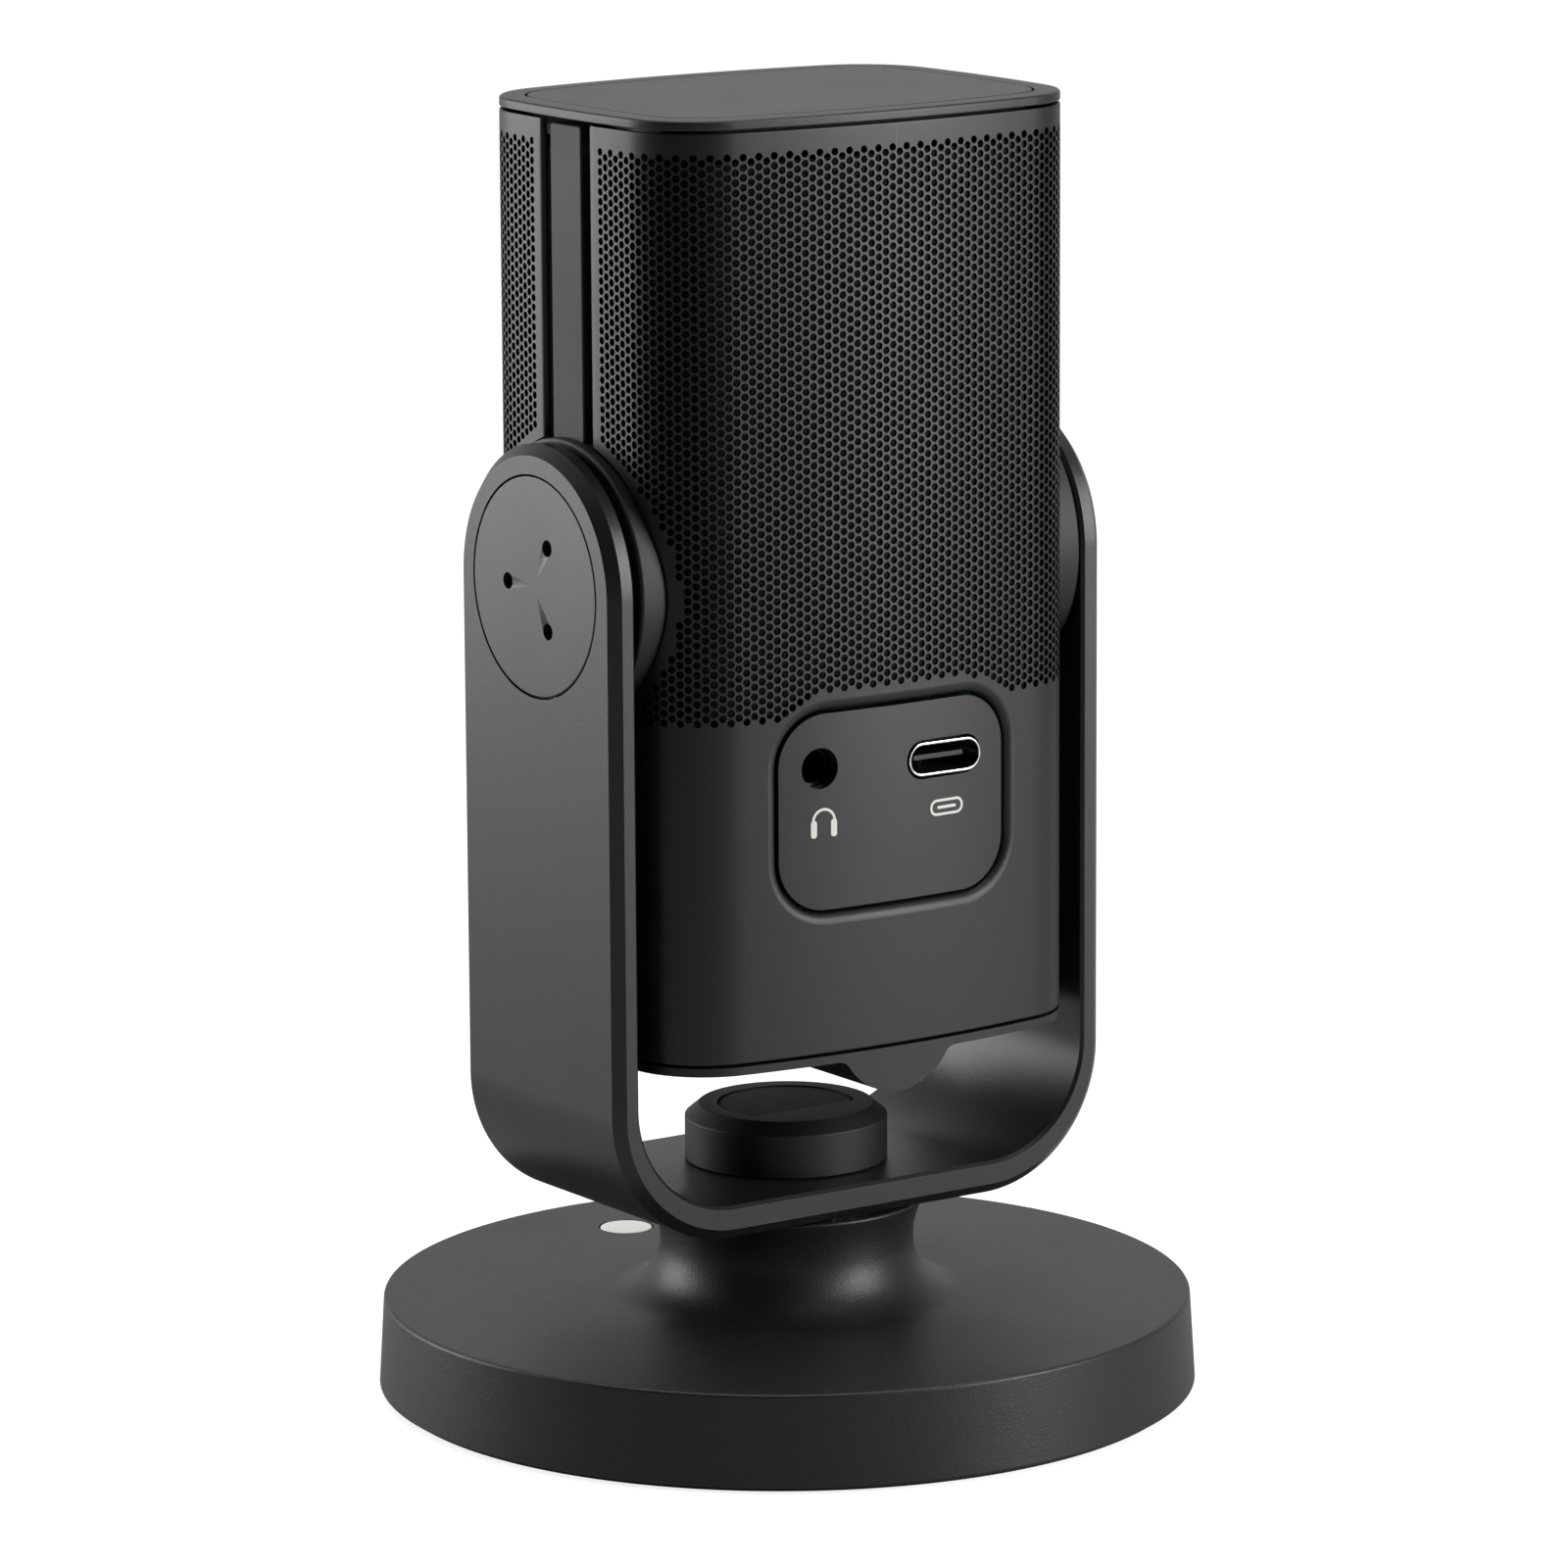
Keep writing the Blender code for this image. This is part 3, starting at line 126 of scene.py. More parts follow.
class StandSizes(bpy.types.PropertyGroup):
    """Sizes of the base and the yoke"""

    base_top_radius: length("Base top radius", "Radius of the base's upper face", 43.9)
    base_edge: length("Base edge", "Rounding of the base's upper edge", 0.45)
    waist_radius: length("Waist radius", "Radius of the neck at its narrowest", 13.8)
    waist_height: length("Waist height", "Height of the neck's narrowest place", 16.3)
    fillet_width: length("Neck fillet", "Width of the fillet between the neck and the base", 5.6)
    marker_groove: length("Marker groove", "Gap round the front marker", 0.2)
    arm_thickness: length("Arm thickness", "Thickness of the yoke's arms", 2.8)
    bridge_thickness: length("Bridge thickness", "Thickness of the yoke's bridge", 3.7)
    outer_bend: length("Outer bend", "Outer radius of the yoke's bends", 15.0)
    inner_bend: length("Inner bend", "Inner radius of the yoke's bends", 12.0)
    chamfer: length("Chamfer", "Chamfer along the yoke's outer edges", 1.15)
    inner_chamfer: length("Inner chamfer", "Chamfer along the yoke's inner edges", 0.35)
    boss_chamfer_height: length("Boss chamfer", "Height of the boss's sloping shoulder", 1.3)
    boss_top_radius: length("Boss top radius", "Radius of the boss's flat top", 9.45)
    pin_hole_radius: length("Pin hole radius", "Radius of a pivot cap's spanner holes", 0.9)
    pin_hole_circle: length("Pin hole circle", "Distance of the spanner holes from the pivot", 5.1)


class HeadSizes(bpy.types.PropertyGroup):
    """Sizes of the head"""

    corner_radius: length("Corner radius", "Radius of the head's upright edges", 9.3)
    face_radius: length("Face bow", "Radius of the bow in the front and rear faces", 121.0)
    side_radius: length("Side bow", "Radius of the bow in the sides", 137.0)
    sheet: length("Sheet thickness", "Thickness of the perforated metal", 0.4)
    hole_radius: length("Hole radius", "Radius of one hole of the grille", 0.435)
    hole_pitch: length("Column pitch", "Distance between the grille's columns", 0.889)
    hole_step: length("Hole step", "Distance between two holes of one column", 1.03)
    first_column: length("First column", "First column's distance from the side's middle", 6.5)
    grille_top: length("Grille top", "Height of the grille's upper edge", 137.6)
    grille_bottom: length("Grille bottom", "Height of the grille's lower edge", 77.65)
    seam_roll: length("Seam roll", "Radius of the sheet's rolled edge beside the side strip", 0.6)
    panel_corner: length("Panel corner", "Corner radius of the rear panel", 5.6)
    panel_sink: length("Panel sink", "Depth of the rear panel below the skin", 0.45)
    panel_lip: length("Panel lip", "Width of the skin's rolled edge round the rear panel", 1.2)
    panel_margin: length("Panel margin", "Plain skin between the panel and the nearest hole", 1.75)
    top_inset: length("Top inset", "Distance from the cap's edge to its inset panel", 2.7)
    strip_half: length("Strip half width", "Half the width of the side strip", 2.95)
    bump_fillet: length("Bump fillet", "Fillet between the bump and the bottom rim", 1.5)


class Finishes(bpy.types.PropertyGroup):
    """Colours and surface of each finish"""

    paint: colour("Paint", "Colour of the painted metal", (0.012, 0.012, 0.0125))
    grille: colour("Grille paint", "Colour of the perforated skin", (0.006, 0.006, 0.0062))
    plastic: colour("Plastic", "Colour of the moulded plastic", (0.008, 0.008, 0.008))
    boss: colour("Boss plastic", "Colour of the boss on the bridge", (0.004, 0.004, 0.004))
    rubber: colour("Rubber", "Colour of the rubber pads", (0.008, 0.008, 0.008))
    marker: colour("Marker", "Colour of the front marker", (0.93, 0.92, 0.86))
    symbol: colour("Symbols", "Colour of the printed symbols", (0.80, 0.78, 0.73))
    paint_roughness: share("Paint roughness", "Roughness of the painted metal", 0.38)
    plastic_roughness: share("Plastic roughness", "Roughness of the moulded plastic", 0.46)


class Studio(bpy.types.PropertyGroup):
    """Camera and light"""

    turn: angle("Turn", "Direction of the camera, from the rear towards the right side", 34.5493)
    reach: length("Distance", "Level distance of the camera from the origin", 819.555)
    height: length("Height", "Height of the camera", 229.054)
    tilt: angle("Tilt", "How far the camera looks down", 11.2325)
    roll: angle("Roll", "How far the camera leans", -0.3304)
    lens: bpy.props.FloatProperty(
        name="Lens", description="Focal length on a 36 mm wide sensor", default=178.144,
        subtype="DISTANCE_CAMERA")
    side_light: bpy.props.FloatProperty(
        name="Side light", description="Power of the side softboxes", default=6.6)
    top_light: bpy.props.FloatProperty(
        name="Top light", description="Power of the light overhead", default=7.0)


SETTINGS = {"stand": StandSizes, "head": HeadSizes, "finish": Finishes, "studio": Studio}


def settings(name):
    return getattr(bpy.context.scene, "microphone_" + name)


# ---------------------------------------------------------------- shader maths

MIX_FACTOR, MIX_FIRST, MIX_SECOND = 0, 6, 7
MIX_RESULT = 2
EDGE_CONTRAST = 4.0


class Wire:
    """One output socket of a node tree.  Arithmetic on it adds Math nodes."""

    def __init__(self, graph, socket):
        self.graph = graph
        self.socket = socket

    def math(self, operation, first, second):
        return self.graph.add("ShaderNodeMath", {"operation": operation}, {0: first, 1: second})

    def __add__(self, other):
        return self.math("ADD", self, other)

    def __radd__(self, other):
        return self.math("ADD", other, self)

    def __sub__(self, other):
        return self.math("SUBTRACT", self, other)

    def __rsub__(self, other):
        return self.math("SUBTRACT", other, self)

    def __mul__(self, other):
        return self.math("MULTIPLY", self, other)

    def __rmul__(self, other):
        return self.math("MULTIPLY", other, self)

    def __truediv__(self, other):
        return self.math("DIVIDE", self, other)

    def __pow__(self, other):
        return self.math("POWER", self, other)


class Graph:
    """A material's node tree, or the world's."""

    def __init__(self, owner):
        owner.use_nodes = True
        self.tree = owner.node_tree
        self.tree.nodes.clear()

    def add(self, kind, node_settings=None, values=None, output=0):
        """Add a node: its settings are set first, then its sockets' values or links."""
        node = self.tree.nodes.new(kind)
        for name, value in (node_settings or {}).items():
            if name == "stops":
                self.set_stops(node, value)
            else:
                setattr(node, name, value)
        for name, value in (values or {}).items():
            if isinstance(value, Wire):
                self.tree.links.new(value.socket, node.inputs[name])
            else:
                node.inputs[name].default_value = value
        return Wire(self, node.outputs[output]) if node.outputs else node

    @staticmethod
    def set_stops(node, stops):
        """Each stop of a colour ramp is a place from 0 to 1 and a grey level."""
        ramp = node.color_ramp.elements
        while len(ramp) < len(stops):
            ramp.new(1.0)
        for element, (place, level) in zip(ramp, stops):
            element.position = place
            element.color = (level, level, level, 1.0)

    def coords(self):
        return self.add("ShaderNodeTexCoord", output="Object")

    def noise(self, size, detail=2.0, coords=None, roughness=0.5):
        """Noise whose features are about size metres across."""
        values = {"Vector": coords or self.coords(), "Scale": 1 / size}
        values |= {"Detail": detail, "Roughness": roughness}
        return self.add("ShaderNodeTexNoise", None, values)

    def cells(self, size, feature="F1"):
        values = {"Vector": self.coords(), "Scale": 1 / size}
        return self.add("ShaderNodeTexVoronoi", {"feature": feature}, values)

    def ramp(self, wire, stops):
        return self.add("ShaderNodeValToRGB", {"stops": stops}, {"Fac": wire})

    def blend(self, share_wire, first, second):
        """A colour between two colours."""
        values = {MIX_FACTOR: share_wire, MIX_FIRST: first, MIX_SECOND: second}
        return self.add("ShaderNodeMix", {"data_type": "RGBA"}, values, output=MIX_RESULT)

    def bump(self, height, depth, strength=1.0):
        """A normal from a height between 0 and 1, for a relief of the given depth."""
        values = {"Strength": strength, "Distance": depth, "Height": height}
        return self.add("ShaderNodeBump", None, values)

    def edges(self, radius):
        """0 on flat stretches, rising towards 1 on edges sharper than the radius."""
        rounded = self.add("ShaderNodeBevel", {"samples": 4}, {"Radius": radius})
        plain = self.add("ShaderNodeNewGeometry", output="Normal")
        return (1 - self.dot(rounded, plain)) * EDGE_CONTRAST

    def dot(self, first, second):
        """The dot product of two vectors."""
        values = {0: first, 1: second}
        return self.add("ShaderNodeVectorMath", {"operation": "DOT_PRODUCT"}, values, output="Value")

    def surface(self, values):
        shader = self.add("ShaderNodeBsdfPrincipled", None, values)
        self.add("ShaderNodeOutputMaterial", None, {"Surface": shader})


def rgba(base, factor=1.0, lift=0.0):
    return (*[min(level * factor + lift, 1.0) for level in base], 1.0)


def new_surface(name):
    material = bpy.data.materials.new(name)
    return material, Graph(material)


# ---------------------------------------------------------------- finishes

def painted_metal(name, base, roughness, grain=0.16 * MM, relief=0.012 * MM, edge_highlight=0.5):
    """Satin powder coat: a fine orange-peel grain, faint clouding, and a painted highlight that
    lightens the colour along edges.
    """
    material, graph = new_surface(name)
    fine = graph.noise(grain, 3.0)
    cloud = graph.noise(14 * MM, 3.0)
    speck = graph.ramp(graph.noise(grain * 1.7, 1.0), [(0.60, 0.0), (0.78, 1.0)])
    edge = graph.edges(0.22 * MM)
    shade = graph.blend(cloud, rgba(base, 0.90), rgba(base, 1.12))
    shade = graph.blend(speck * 0.35, shade, rgba(base, 1.9))
    # Painted highlight: the colour is lightened along edges, by the share given as the last argument.
    shade = graph.blend(graph.ramp(edge * edge_highlight, [(0.05, 0.0), (0.9, 1.0)]), shade, rgba(base, 2.2))
    rough = roughness + (fine - 0.5) * 0.16 + (cloud - 0.5) * 0.08 - edge * 0.05
    normal = graph.bump(fine, relief, 0.9)
    graph.surface({"Base Color": shade, "Roughness": rough, "Normal": normal})
    return material


def moulded_plastic(name, base, roughness, grain=0.22 * MM, relief=0.010 * MM):
    """Injection-moulded plastic with a spark-eroded grain and faint flow clouding."""
    material, graph = new_surface(name)
    pits = graph.cells(grain)
    fine = graph.noise(grain * 0.6, 2.0)
    cloud = graph.noise(9 * MM, 2.0)
    shade = graph.blend(cloud, rgba(base, 0.86), rgba(base, 1.14))
    rough = roughness + (fine - 0.5) * 0.14 + (cloud - 0.5) * 0.06
    normal = graph.bump(pits * 0.6 + fine * 0.4, relief, 0.8)
    graph.surface({"Base Color": shade, "Roughness": rough, "Normal": normal})
    return material


def stippled_rubber(name, base, dot=0.42 * MM, relief=0.05 * MM):
    """Matt rubber with small raised dots, whose tops carry a painted highlight."""
    material, graph = new_surface(name)
    dots = graph.ramp(graph.cells(dot), [(0.25, 1.0), (0.55, 0.0)])
    dust = graph.noise(1.6 * MM, 4.0)
    fine = graph.noise(0.1 * MM, 2.0)
    shade = graph.blend(dust, rgba(base, 0.8), rgba(base, 1.5))
    # Painted highlight: the raised dots are coloured lighter than the rubber round them.
    shade = graph.blend(dots * 0.5, shade, rgba(base, 1.8))
    rough = 0.74 + (fine - 0.5) * 0.2 - dots * 0.08
    normal = graph.bump(dots * 0.8 + fine * 0.2, relief, 0.8)
    graph.surface({"Base Color": shade, "Roughness": rough, "Normal": normal})
    return material


def bare_metal(name, base, roughness, turn_size=0.05 * MM):
    """Turned or drawn metal with fine tool marks and faint tarnish."""
    material, graph = new_surface(name)
    marks = graph.noise(turn_size, 2.0)
    tarnish = graph.noise(2.5 * MM, 4.0)
    shade = graph.blend(tarnish, rgba(base, 0.82), rgba(base, 1.08))
    rough = roughness + (marks - 0.5) * 0.2 + (tarnish - 0.5) * 0.1
    normal = graph.bump(marks, 0.004 * MM, 0.6)
    graph.surface({"Base Color": shade, "Roughness": rough, "Metallic": 1.0, "Normal": normal})
    return material


def turned_plastic(name, base, roughness, centre_height):
    """Plastic with fine turning rings round the knob's axis."""
    material, graph = new_surface(name)
    values = {"Vector": graph.coords(), "Location": (0, 0, -centre_height)}
    place = graph.add("ShaderNodeMapping", None, values)
    flat = graph.add("ShaderNodeVectorMath", {"operation": "MULTIPLY"}, {0: place, 1: (1, 0, 1)})
    reach = graph.add("ShaderNodeVectorMath", {"operation": "LENGTH"}, {0: flat}, output="Value")
    rings = graph.add("ShaderNodeMath", {"operation": "SINE"}, {0: reach * (2 * math.pi / (0.35 * MM))})
    fine = graph.noise(0.2 * MM, 2.0)
    shade = graph.blend(fine, rgba(base, 0.85), rgba(base, 1.15))
    rough = roughness + rings * 0.04 + (fine - 0.5) * 0.1
    normal = graph.bump(rings * 0.5 + fine * 0.3, 0.008 * MM, 0.7)
    graph.surface({"Base Color": shade, "Roughness": rough, "Normal": normal})
    return material


def open_foam(name, base):
    """Open-cell foam: rounded pores, with painted shade darkening their insides."""
    material, graph = new_surface(name)
    pores = graph.cells(0.5 * MM)
    fine = graph.noise(0.2 * MM, 3.0)
    # Painted shade: each pore is coloured darker towards its middle.
    shade = graph.blend(pores, rgba(base, 0.4), rgba(base, 1.3))
    rough = 0.92 + (fine - 0.5) * 0.1
    normal = graph.bump(pores * 0.8 + fine * 0.2, 0.12 * MM, 1.0)
    graph.surface({"Base Color": shade, "Roughness": rough, "Normal": normal})
    return material


def circuit_board(name):
    """Green lacquer over copper tracks and pads."""
    material, graph = new_surface(name)
    track_lines = graph.add("ShaderNodeTexBrick", {"offset": 0.37, "squash": 1.3},
                            {"Vector": graph.add("ShaderNodeMapping", None, {
                                "Vector": graph.coords(), "Rotation": (math.pi / 2, 0, 0)}),
                             "Scale": 160.0, "Mortar Size": 0.035, "Mortar Smooth": 0.2}, output="Fac")
    pads = graph.ramp(graph.cells(2.6 * MM), [(0.08, 1.0), (0.12, 0.0)])
    cloud = graph.noise(4 * MM, 3.0)
    green = (0.012, 0.085, 0.035)
    shade = graph.blend(cloud, rgba(green, 0.85), rgba(green, 1.15))
    shade = graph.blend(track_lines * 0.8, shade, rgba(green, 2.0))
    shade = graph.blend(pads, shade, (0.62, 0.60, 0.55, 1.0))
    rough = 0.34 + (cloud - 0.5) * 0.1 + pads * 0.05
    normal = graph.bump(track_lines * 0.5 + pads * 0.5, 0.03 * MM, 0.8)
    graph.surface({"Base Color": shade, "Roughness": rough, "Metallic": pads * 0.9, "Normal": normal})
    return material


def printed_ink(name, base):
    """Screen-printed ink with slightly uneven cover."""
    material, graph = new_surface(name)
    cover = graph.noise(0.12 * MM, 3.0)
    shade = graph.blend(cover, rgba(base, 0.88), rgba(base, 1.04))
    rough = 0.5 + (cover - 0.5) * 0.2
    normal = graph.bump(cover, 0.003 * MM, 0.5)
    graph.surface({"Base Color": shade, "Roughness": rough, "Normal": normal})
    return material


FINISH_SLOTS = {}


def make_finishes():
    """Make every finish once, keyed by the slot it belongs to."""
    look = settings("finish")
    paint = look.paint_roughness
    plastic = look.plastic_roughness
    black, rubber, grille, moulded = look.boss, look.rubber, look.grille, look.plastic
    # Darker and lighter copies of the one paint: painted shade on the base, painted light on the top
    # cap and on the pivot caps.
    base, pale, paler = [rgba(look.paint, factor)[:3] for factor in (0.75, 1.1, 1.25)]
    fine, coarse = 0.15 * MM, 0.26 * MM
    # The fifth number of a painted finish is the share of its painted edge highlight.
    painted = {
        "base_paint": (base, paint + 0.06, coarse, 0.030 * MM),
        "yoke_paint": (look.paint, paint, 0.20 * MM, 0.016 * MM),
        "pivot_cap_paint": (paler, paint - 0.02, fine, 0.009 * MM, 0.3),
        "rail_plastic": (grille, paint + 0.20, 0.18 * MM, 0.010 * MM, 0.3),
        "grille_paint": (grille, paint + 0.06, 0.14 * MM, 0.006 * MM, 0.25),
        "cap_paint": (pale, paint + 0.05, fine, 0.008 * MM),
    }
    plastics = {
        "bottom_plastic": (moulded, plastic),
        "panel_plastic": (moulded, plastic - 0.12, 0.18 * MM, 0.007 * MM),
        "boss_plastic": (black, plastic + 0.12, 0.2 * MM, 0.012 * MM),
        "socket_plastic": (black, 0.28, 0.3 * MM, 0.003 * MM),
        "washer_plastic": (black, 0.55),
        "chassis_plastic": (black, 0.5, 0.3 * MM),
        "marker_cream": (look.marker, 0.42, 0.25 * MM, 0.004 * MM),
    }
    rubbers = {
        "pad_rubber": (rubber,),
        "foot_rubber": (rubber, 0.8 * MM, 0.03 * MM),
        "mount_rubber": (rubber, 0.6 * MM, 0.02 * MM),
    }
    metals = {
        "magnet_steel": ((0.50, 0.50, 0.51), 0.26),
        "stud_steel": ((0.46, 0.46, 0.47), 0.30),
        "axle_steel": ((0.42, 0.42, 0.43), 0.32),
        "screw_steel": ((0.48, 0.48, 0.48), 0.34),
        "usb_metal": ((0.66, 0.66, 0.65), 0.20),
        "insert_brass": ((0.66, 0.47, 0.20), 0.30),
        "capsule_brass": ((0.68, 0.50, 0.24), 0.24),
    }
    recipes = ((painted_metal, painted), (moulded_plastic, plastics), (stippled_rubber, rubbers),
               (bare_metal, metals))
    for recipe, finishes in recipes:
        for slot, values in finishes.items():
            FINISH_SLOTS[slot] = recipe(slot, *values)
    knob_height = middle("volume_knob").z
    FINISH_SLOTS["knob_plastic"] = turned_plastic("knob_plastic", moulded, plastic, knob_height)
    FINISH_SLOTS["foam_dark"] = open_foam("foam_dark", (0.010, 0.010, 0.010))
    FINISH_SLOTS["board_green"] = circuit_board("board_green")
    FINISH_SLOTS["symbol_ink"] = printed_ink("symbol_ink", look.symbol)


# ---------------------------------------------------------------- outlines and profiles

def arc(centre, radius, start, end, steps):
    """Points from one angle to another in degrees, both ends included."""
    turns = np.radians(np.linspace(start, end, steps + 1))
    return [(centre[0] + radius * math.cos(t), centre[1] + radius * math.sin(t)) for t in turns]


def rounded_rectangle(half_width, half_height, radius, steps=10):
    points = []
    for quarter, (side_x, side_y) in enumerate(((1, 1), (-1, 1), (-1, -1), (1, -1))):
        centre = (side_x * (half_width - radius), side_y * (half_height - radius))
        points += arc(centre, radius, 90 * quarter, 90 * quarter + 90, steps)
    return points


def soften_profile(points, radii, steps=4):
    """Round the inner points of an open profile; radii maps a point's number to its radius."""
    result = []
    for number, point in enumerate(points):
        radius = radii.get(number, 0.0)
        if radius == 0.0:
            result.append(point)
            continue
        corner = Vector(point)
        before = (Vector(points[number - 1]) - corner).normalized()
        after = (Vector(points[number + 1]) - corner).normalized()
        half = before.angle(after) / 2
        centre = corner + (before + after).normalized() * radius / math.sin(half)
        start = corner + before * radius / math.tan(half) - centre
        end = corner + after * radius / math.tan(half) - centre
        sweep = start.angle_signed(end)
        for step in range(steps + 1):
            turned_start = start.copy()
            turned_start.rotate(Matrix.Rotation(-sweep * step / steps, 2))
            result.append(tuple(centre + turned_start))
    return result


class HeadPlan:
    """The head seen from above: bowed faces with round corners between them.

    A place along it is the distance over the surface from the middle of the right side, by way
    of the rear, to the middle of the left side.  The front is the same, mirrored.
    """

    def __init__(self, sizes):
        corner = sizes.corner_radius
        face_y = HEAD_HALF_DEPTH - sizes.face_radius
        side_x = HEAD_HALF_WIDTH - sizes.side_radius
        reach_face = sizes.face_radius - corner
        reach_side = sizes.side_radius - corner
        gap = math.hypot(side_x, face_y)
        along = (reach_face**2 - reach_side**2 + gap**2) / (2 * gap)
        across = math.sqrt(reach_face**2 - along**2)
        to_side = Vector((side_x, -face_y)) / gap
        sideways = Vector((-to_side.y, to_side.x))
        middles = [Vector((0, face_y)) + to_side * along + sideways * across * sign for sign in (-1, 1)]
        centre = max(middles, key=lambda point: point.x + point.y)
        face_turn = math.atan2(centre.y - face_y, centre.x)
        side_turn = math.atan2(centre.y, centre.x - side_x)
        self.face_y = face_y
        self.face_radius = sizes.face_radius
        self.spans = [
            ((side_x, 0.0), sizes.side_radius, 0.0, side_turn, 6),
            ((centre.x, centre.y), corner, side_turn, face_turn, 20),
            ((0.0, face_y), sizes.face_radius, face_turn, math.pi - face_turn, 28),
            ((-centre.x, centre.y), corner, math.pi - face_turn, math.pi - side_turn, 20),
            ((-side_x, 0.0), sizes.side_radius, math.pi - side_turn, math.pi, 6),
        ]
        ends = np.cumsum([radius * (end - start) for _, radius, start, end, _ in self.spans])
        self.starts = np.concatenate([[0.0], ends[:-1]])
        self.length = ends[-1]

    def at(self, along, inset=0.0):
        """The points at places along the rear half, moved inwards by inset."""
        along = np.asarray(along, float)
        inset = np.broadcast_to(np.asarray(inset, float), along.shape)
        number = np.clip(np.searchsorted(self.starts, along, side="right") - 1, 0, len(self.spans) - 1)
        points = np.zeros(along.shape + (2,))
        for index, (centre, radius, start, _, _) in enumerate(self.spans):
            here = number == index
            turn = start + (along[here] - self.starts[index]) / radius
            reach = radius - inset[here]
            points[here, 0] = centre[0] + reach * np.cos(turn)
            points[here, 1] = centre[1] + reach * np.sin(turn)
        return points

    def loop(self, inset, height):
        """The whole outline at one height, counter-clockwise."""
        marks = []
        for start, (_, radius, first, last, steps) in zip(self.starts, self.spans):
            marks.append(start + radius * (last - first) * np.arange(steps) / steps)
        rear = self.at(np.concatenate(marks), inset)
        flat = np.vstack([rear, -rear])
        return np.column_stack([flat, np.full(len(flat), height)])

    def rear_y(self, x, depth=0.0):
        """How far back the rear face lies at x, less a depth."""
        return self.face_y + math.sqrt((self.face_radius - depth) ** 2 - x**2)

    def on_rear(self, outline, centre, depth):
        """An outline about centre, laid on the rear face at a depth."""
        placed = [(centre[0] + x, centre[1] + z) for x, z in outline]
        return np.array([(x, self.rear_y(x, depth), z) for x, z in placed])


# ---------------------------------------------------------------- mesh building

def new_object(name, mesh):
    obj = bpy.data.objects.new(name, mesh)
    bpy.context.scene.collection.objects.link(obj)
    return obj


def tidy_mesh(mesh, merge=0.0005 * MM):
    shape = bmesh.new()
    shape.from_mesh(mesh)
    bmesh.ops.remove_doubles(shape, verts=shape.verts, dist=merge)
    bmesh.ops.recalc_face_normals(shape, faces=shape.faces)
    shape.to_mesh(mesh)
    shape.free()


def stack(name, loops, ring=False):
    """A solid skinned over loops of equal length: capped at both ends, or closed into a ring."""
    count = len(loops[0])
    rows = len(loops)
    points = np.vstack(loops)
    faces = []
    for row in range(rows if ring else rows - 1):
        below = row * count
        above = (row + 1) % rows * count
        for step in range(count):
            after = (step + 1) % count
            faces.append((below + step, below + after, above + after, above + step))
    if not ring:
        faces.append(tuple(reversed(range(count))))
        faces.append(tuple(range((rows - 1) * count, rows * count)))
    mesh = bpy.data.meshes.new(name)
    mesh.from_pydata(points.tolist(), [], faces)
    tidy_mesh(mesh)
    return new_object(name, mesh)


def circle(radius, height, steps, axis, centre):
    """A circle about an axis through centre, at a place along that axis."""
    turns = np.linspace(0, 2 * np.pi, steps, endpoint=False)
    across, up = radius * np.cos(turns), radius * np.sin(turns)
    level = np.full(steps, height)
    columns = {"X": (level, across, up), "Y": (up, level, across), "Z": (across, up, level)}[axis]
    return np.column_stack(columns) + np.array(centre)


def turned(name, profile, axis="Z", centre=(0, 0, 0), steps=96, ring=False):
    """A round piece from a profile of (radius, place along the axis) points."""
    loops = [circle(radius, height, steps, axis, centre) for radius, height in profile if radius > 0]
    return stack(name, loops, ring)


def plate(name, outlines, low_end, high_end, axis="Z"):
    """A flat outline pushed along an axis from one place to another."""
    curve = bpy.data.curves.new(name, "CURVE")
    curve.dimensions = "2D"
    curve.fill_mode = "BOTH"
    curve.extrude = (high_end - low_end) / 2
    for outline in outlines:
        spline = curve.splines.new("POLY")
        spline.points.add(len(outline) - 1)
        for point, (x, y) in zip(spline.points, outline):
            point.co = (x, y, 0.0, 1.0)
        spline.use_cyclic_u = True
    source = new_object(name + "_outline", curve)
    bpy.context.view_layer.update()
    mesh = bpy.data.meshes.new_from_object(source.evaluated_get(bpy.context.evaluated_depsgraph_get()))
    bpy.data.objects.remove(source, do_unlink=True)
    turn = {"Z": Matrix.Identity(3), "Y": Matrix.Rotation(math.pi / 2, 3, "X"),
            "X": Matrix(((0, 0, 1), (1, 0, 0), (0, 1, 0)))}[axis]
    mesh.transform(turn.to_4x4())
    shift = Vector((0, 0, 0))
    shift["XYZ".index(axis)] = (low_end + high_end) / 2
    mesh.transform(Matrix.Translation(shift))
    tidy_mesh(mesh)
    return new_object(name, mesh)


def rear_plate(name, outline, centre):
    """A plate through the head's rear face, with its outline about centre."""
    placed = [(centre.x + x, centre.z + z) for x, z in outline]
    return plate(name, [placed], HEAD_HALF_DEPTH / 2, 2 * HEAD_HALF_DEPTH, "Y")


def disc_profile(radius, back, face):
    """A disc's profile, with a small core ring in each flat side."""
    return [(CORE_RADIUS, face), (radius, face), (radius, back), (CORE_RADIUS, back)]


def rounded_levels(back, face, edge, turns):
    """Insets and places of a solid's loops, from its back to a face with a rounded edge."""
    levels = [(0.0, back), (0.0, face - edge)]
    return levels + [(edge * (1 - math.cos(t)), face - edge * (1 - math.sin(t))) for t in turns]


def settle(obj):
    """Replace an object's mesh with its finished shape and drop its modifiers."""
    bpy.context.view_layer.update()
    mesh = bpy.data.meshes.new_from_object(obj.evaluated_get(bpy.context.evaluated_depsgraph_get()))
    obj.modifiers.clear()
    obj.data = mesh


def carve(target, tool, operation="DIFFERENCE", solver="EXACT"):
    """Cut, join or intersect one object with another, which is used up."""
    step = target.modifiers.new("Carve", "BOOLEAN")
    step.operation = operation
    step.solver = solver
    step.object = tool
    settle(target)
    bpy.data.objects.remove(tool, do_unlink=True)
    if len(target.data.polygons) == 0:
        raise RuntimeError(f"nothing is left of {target.name}")


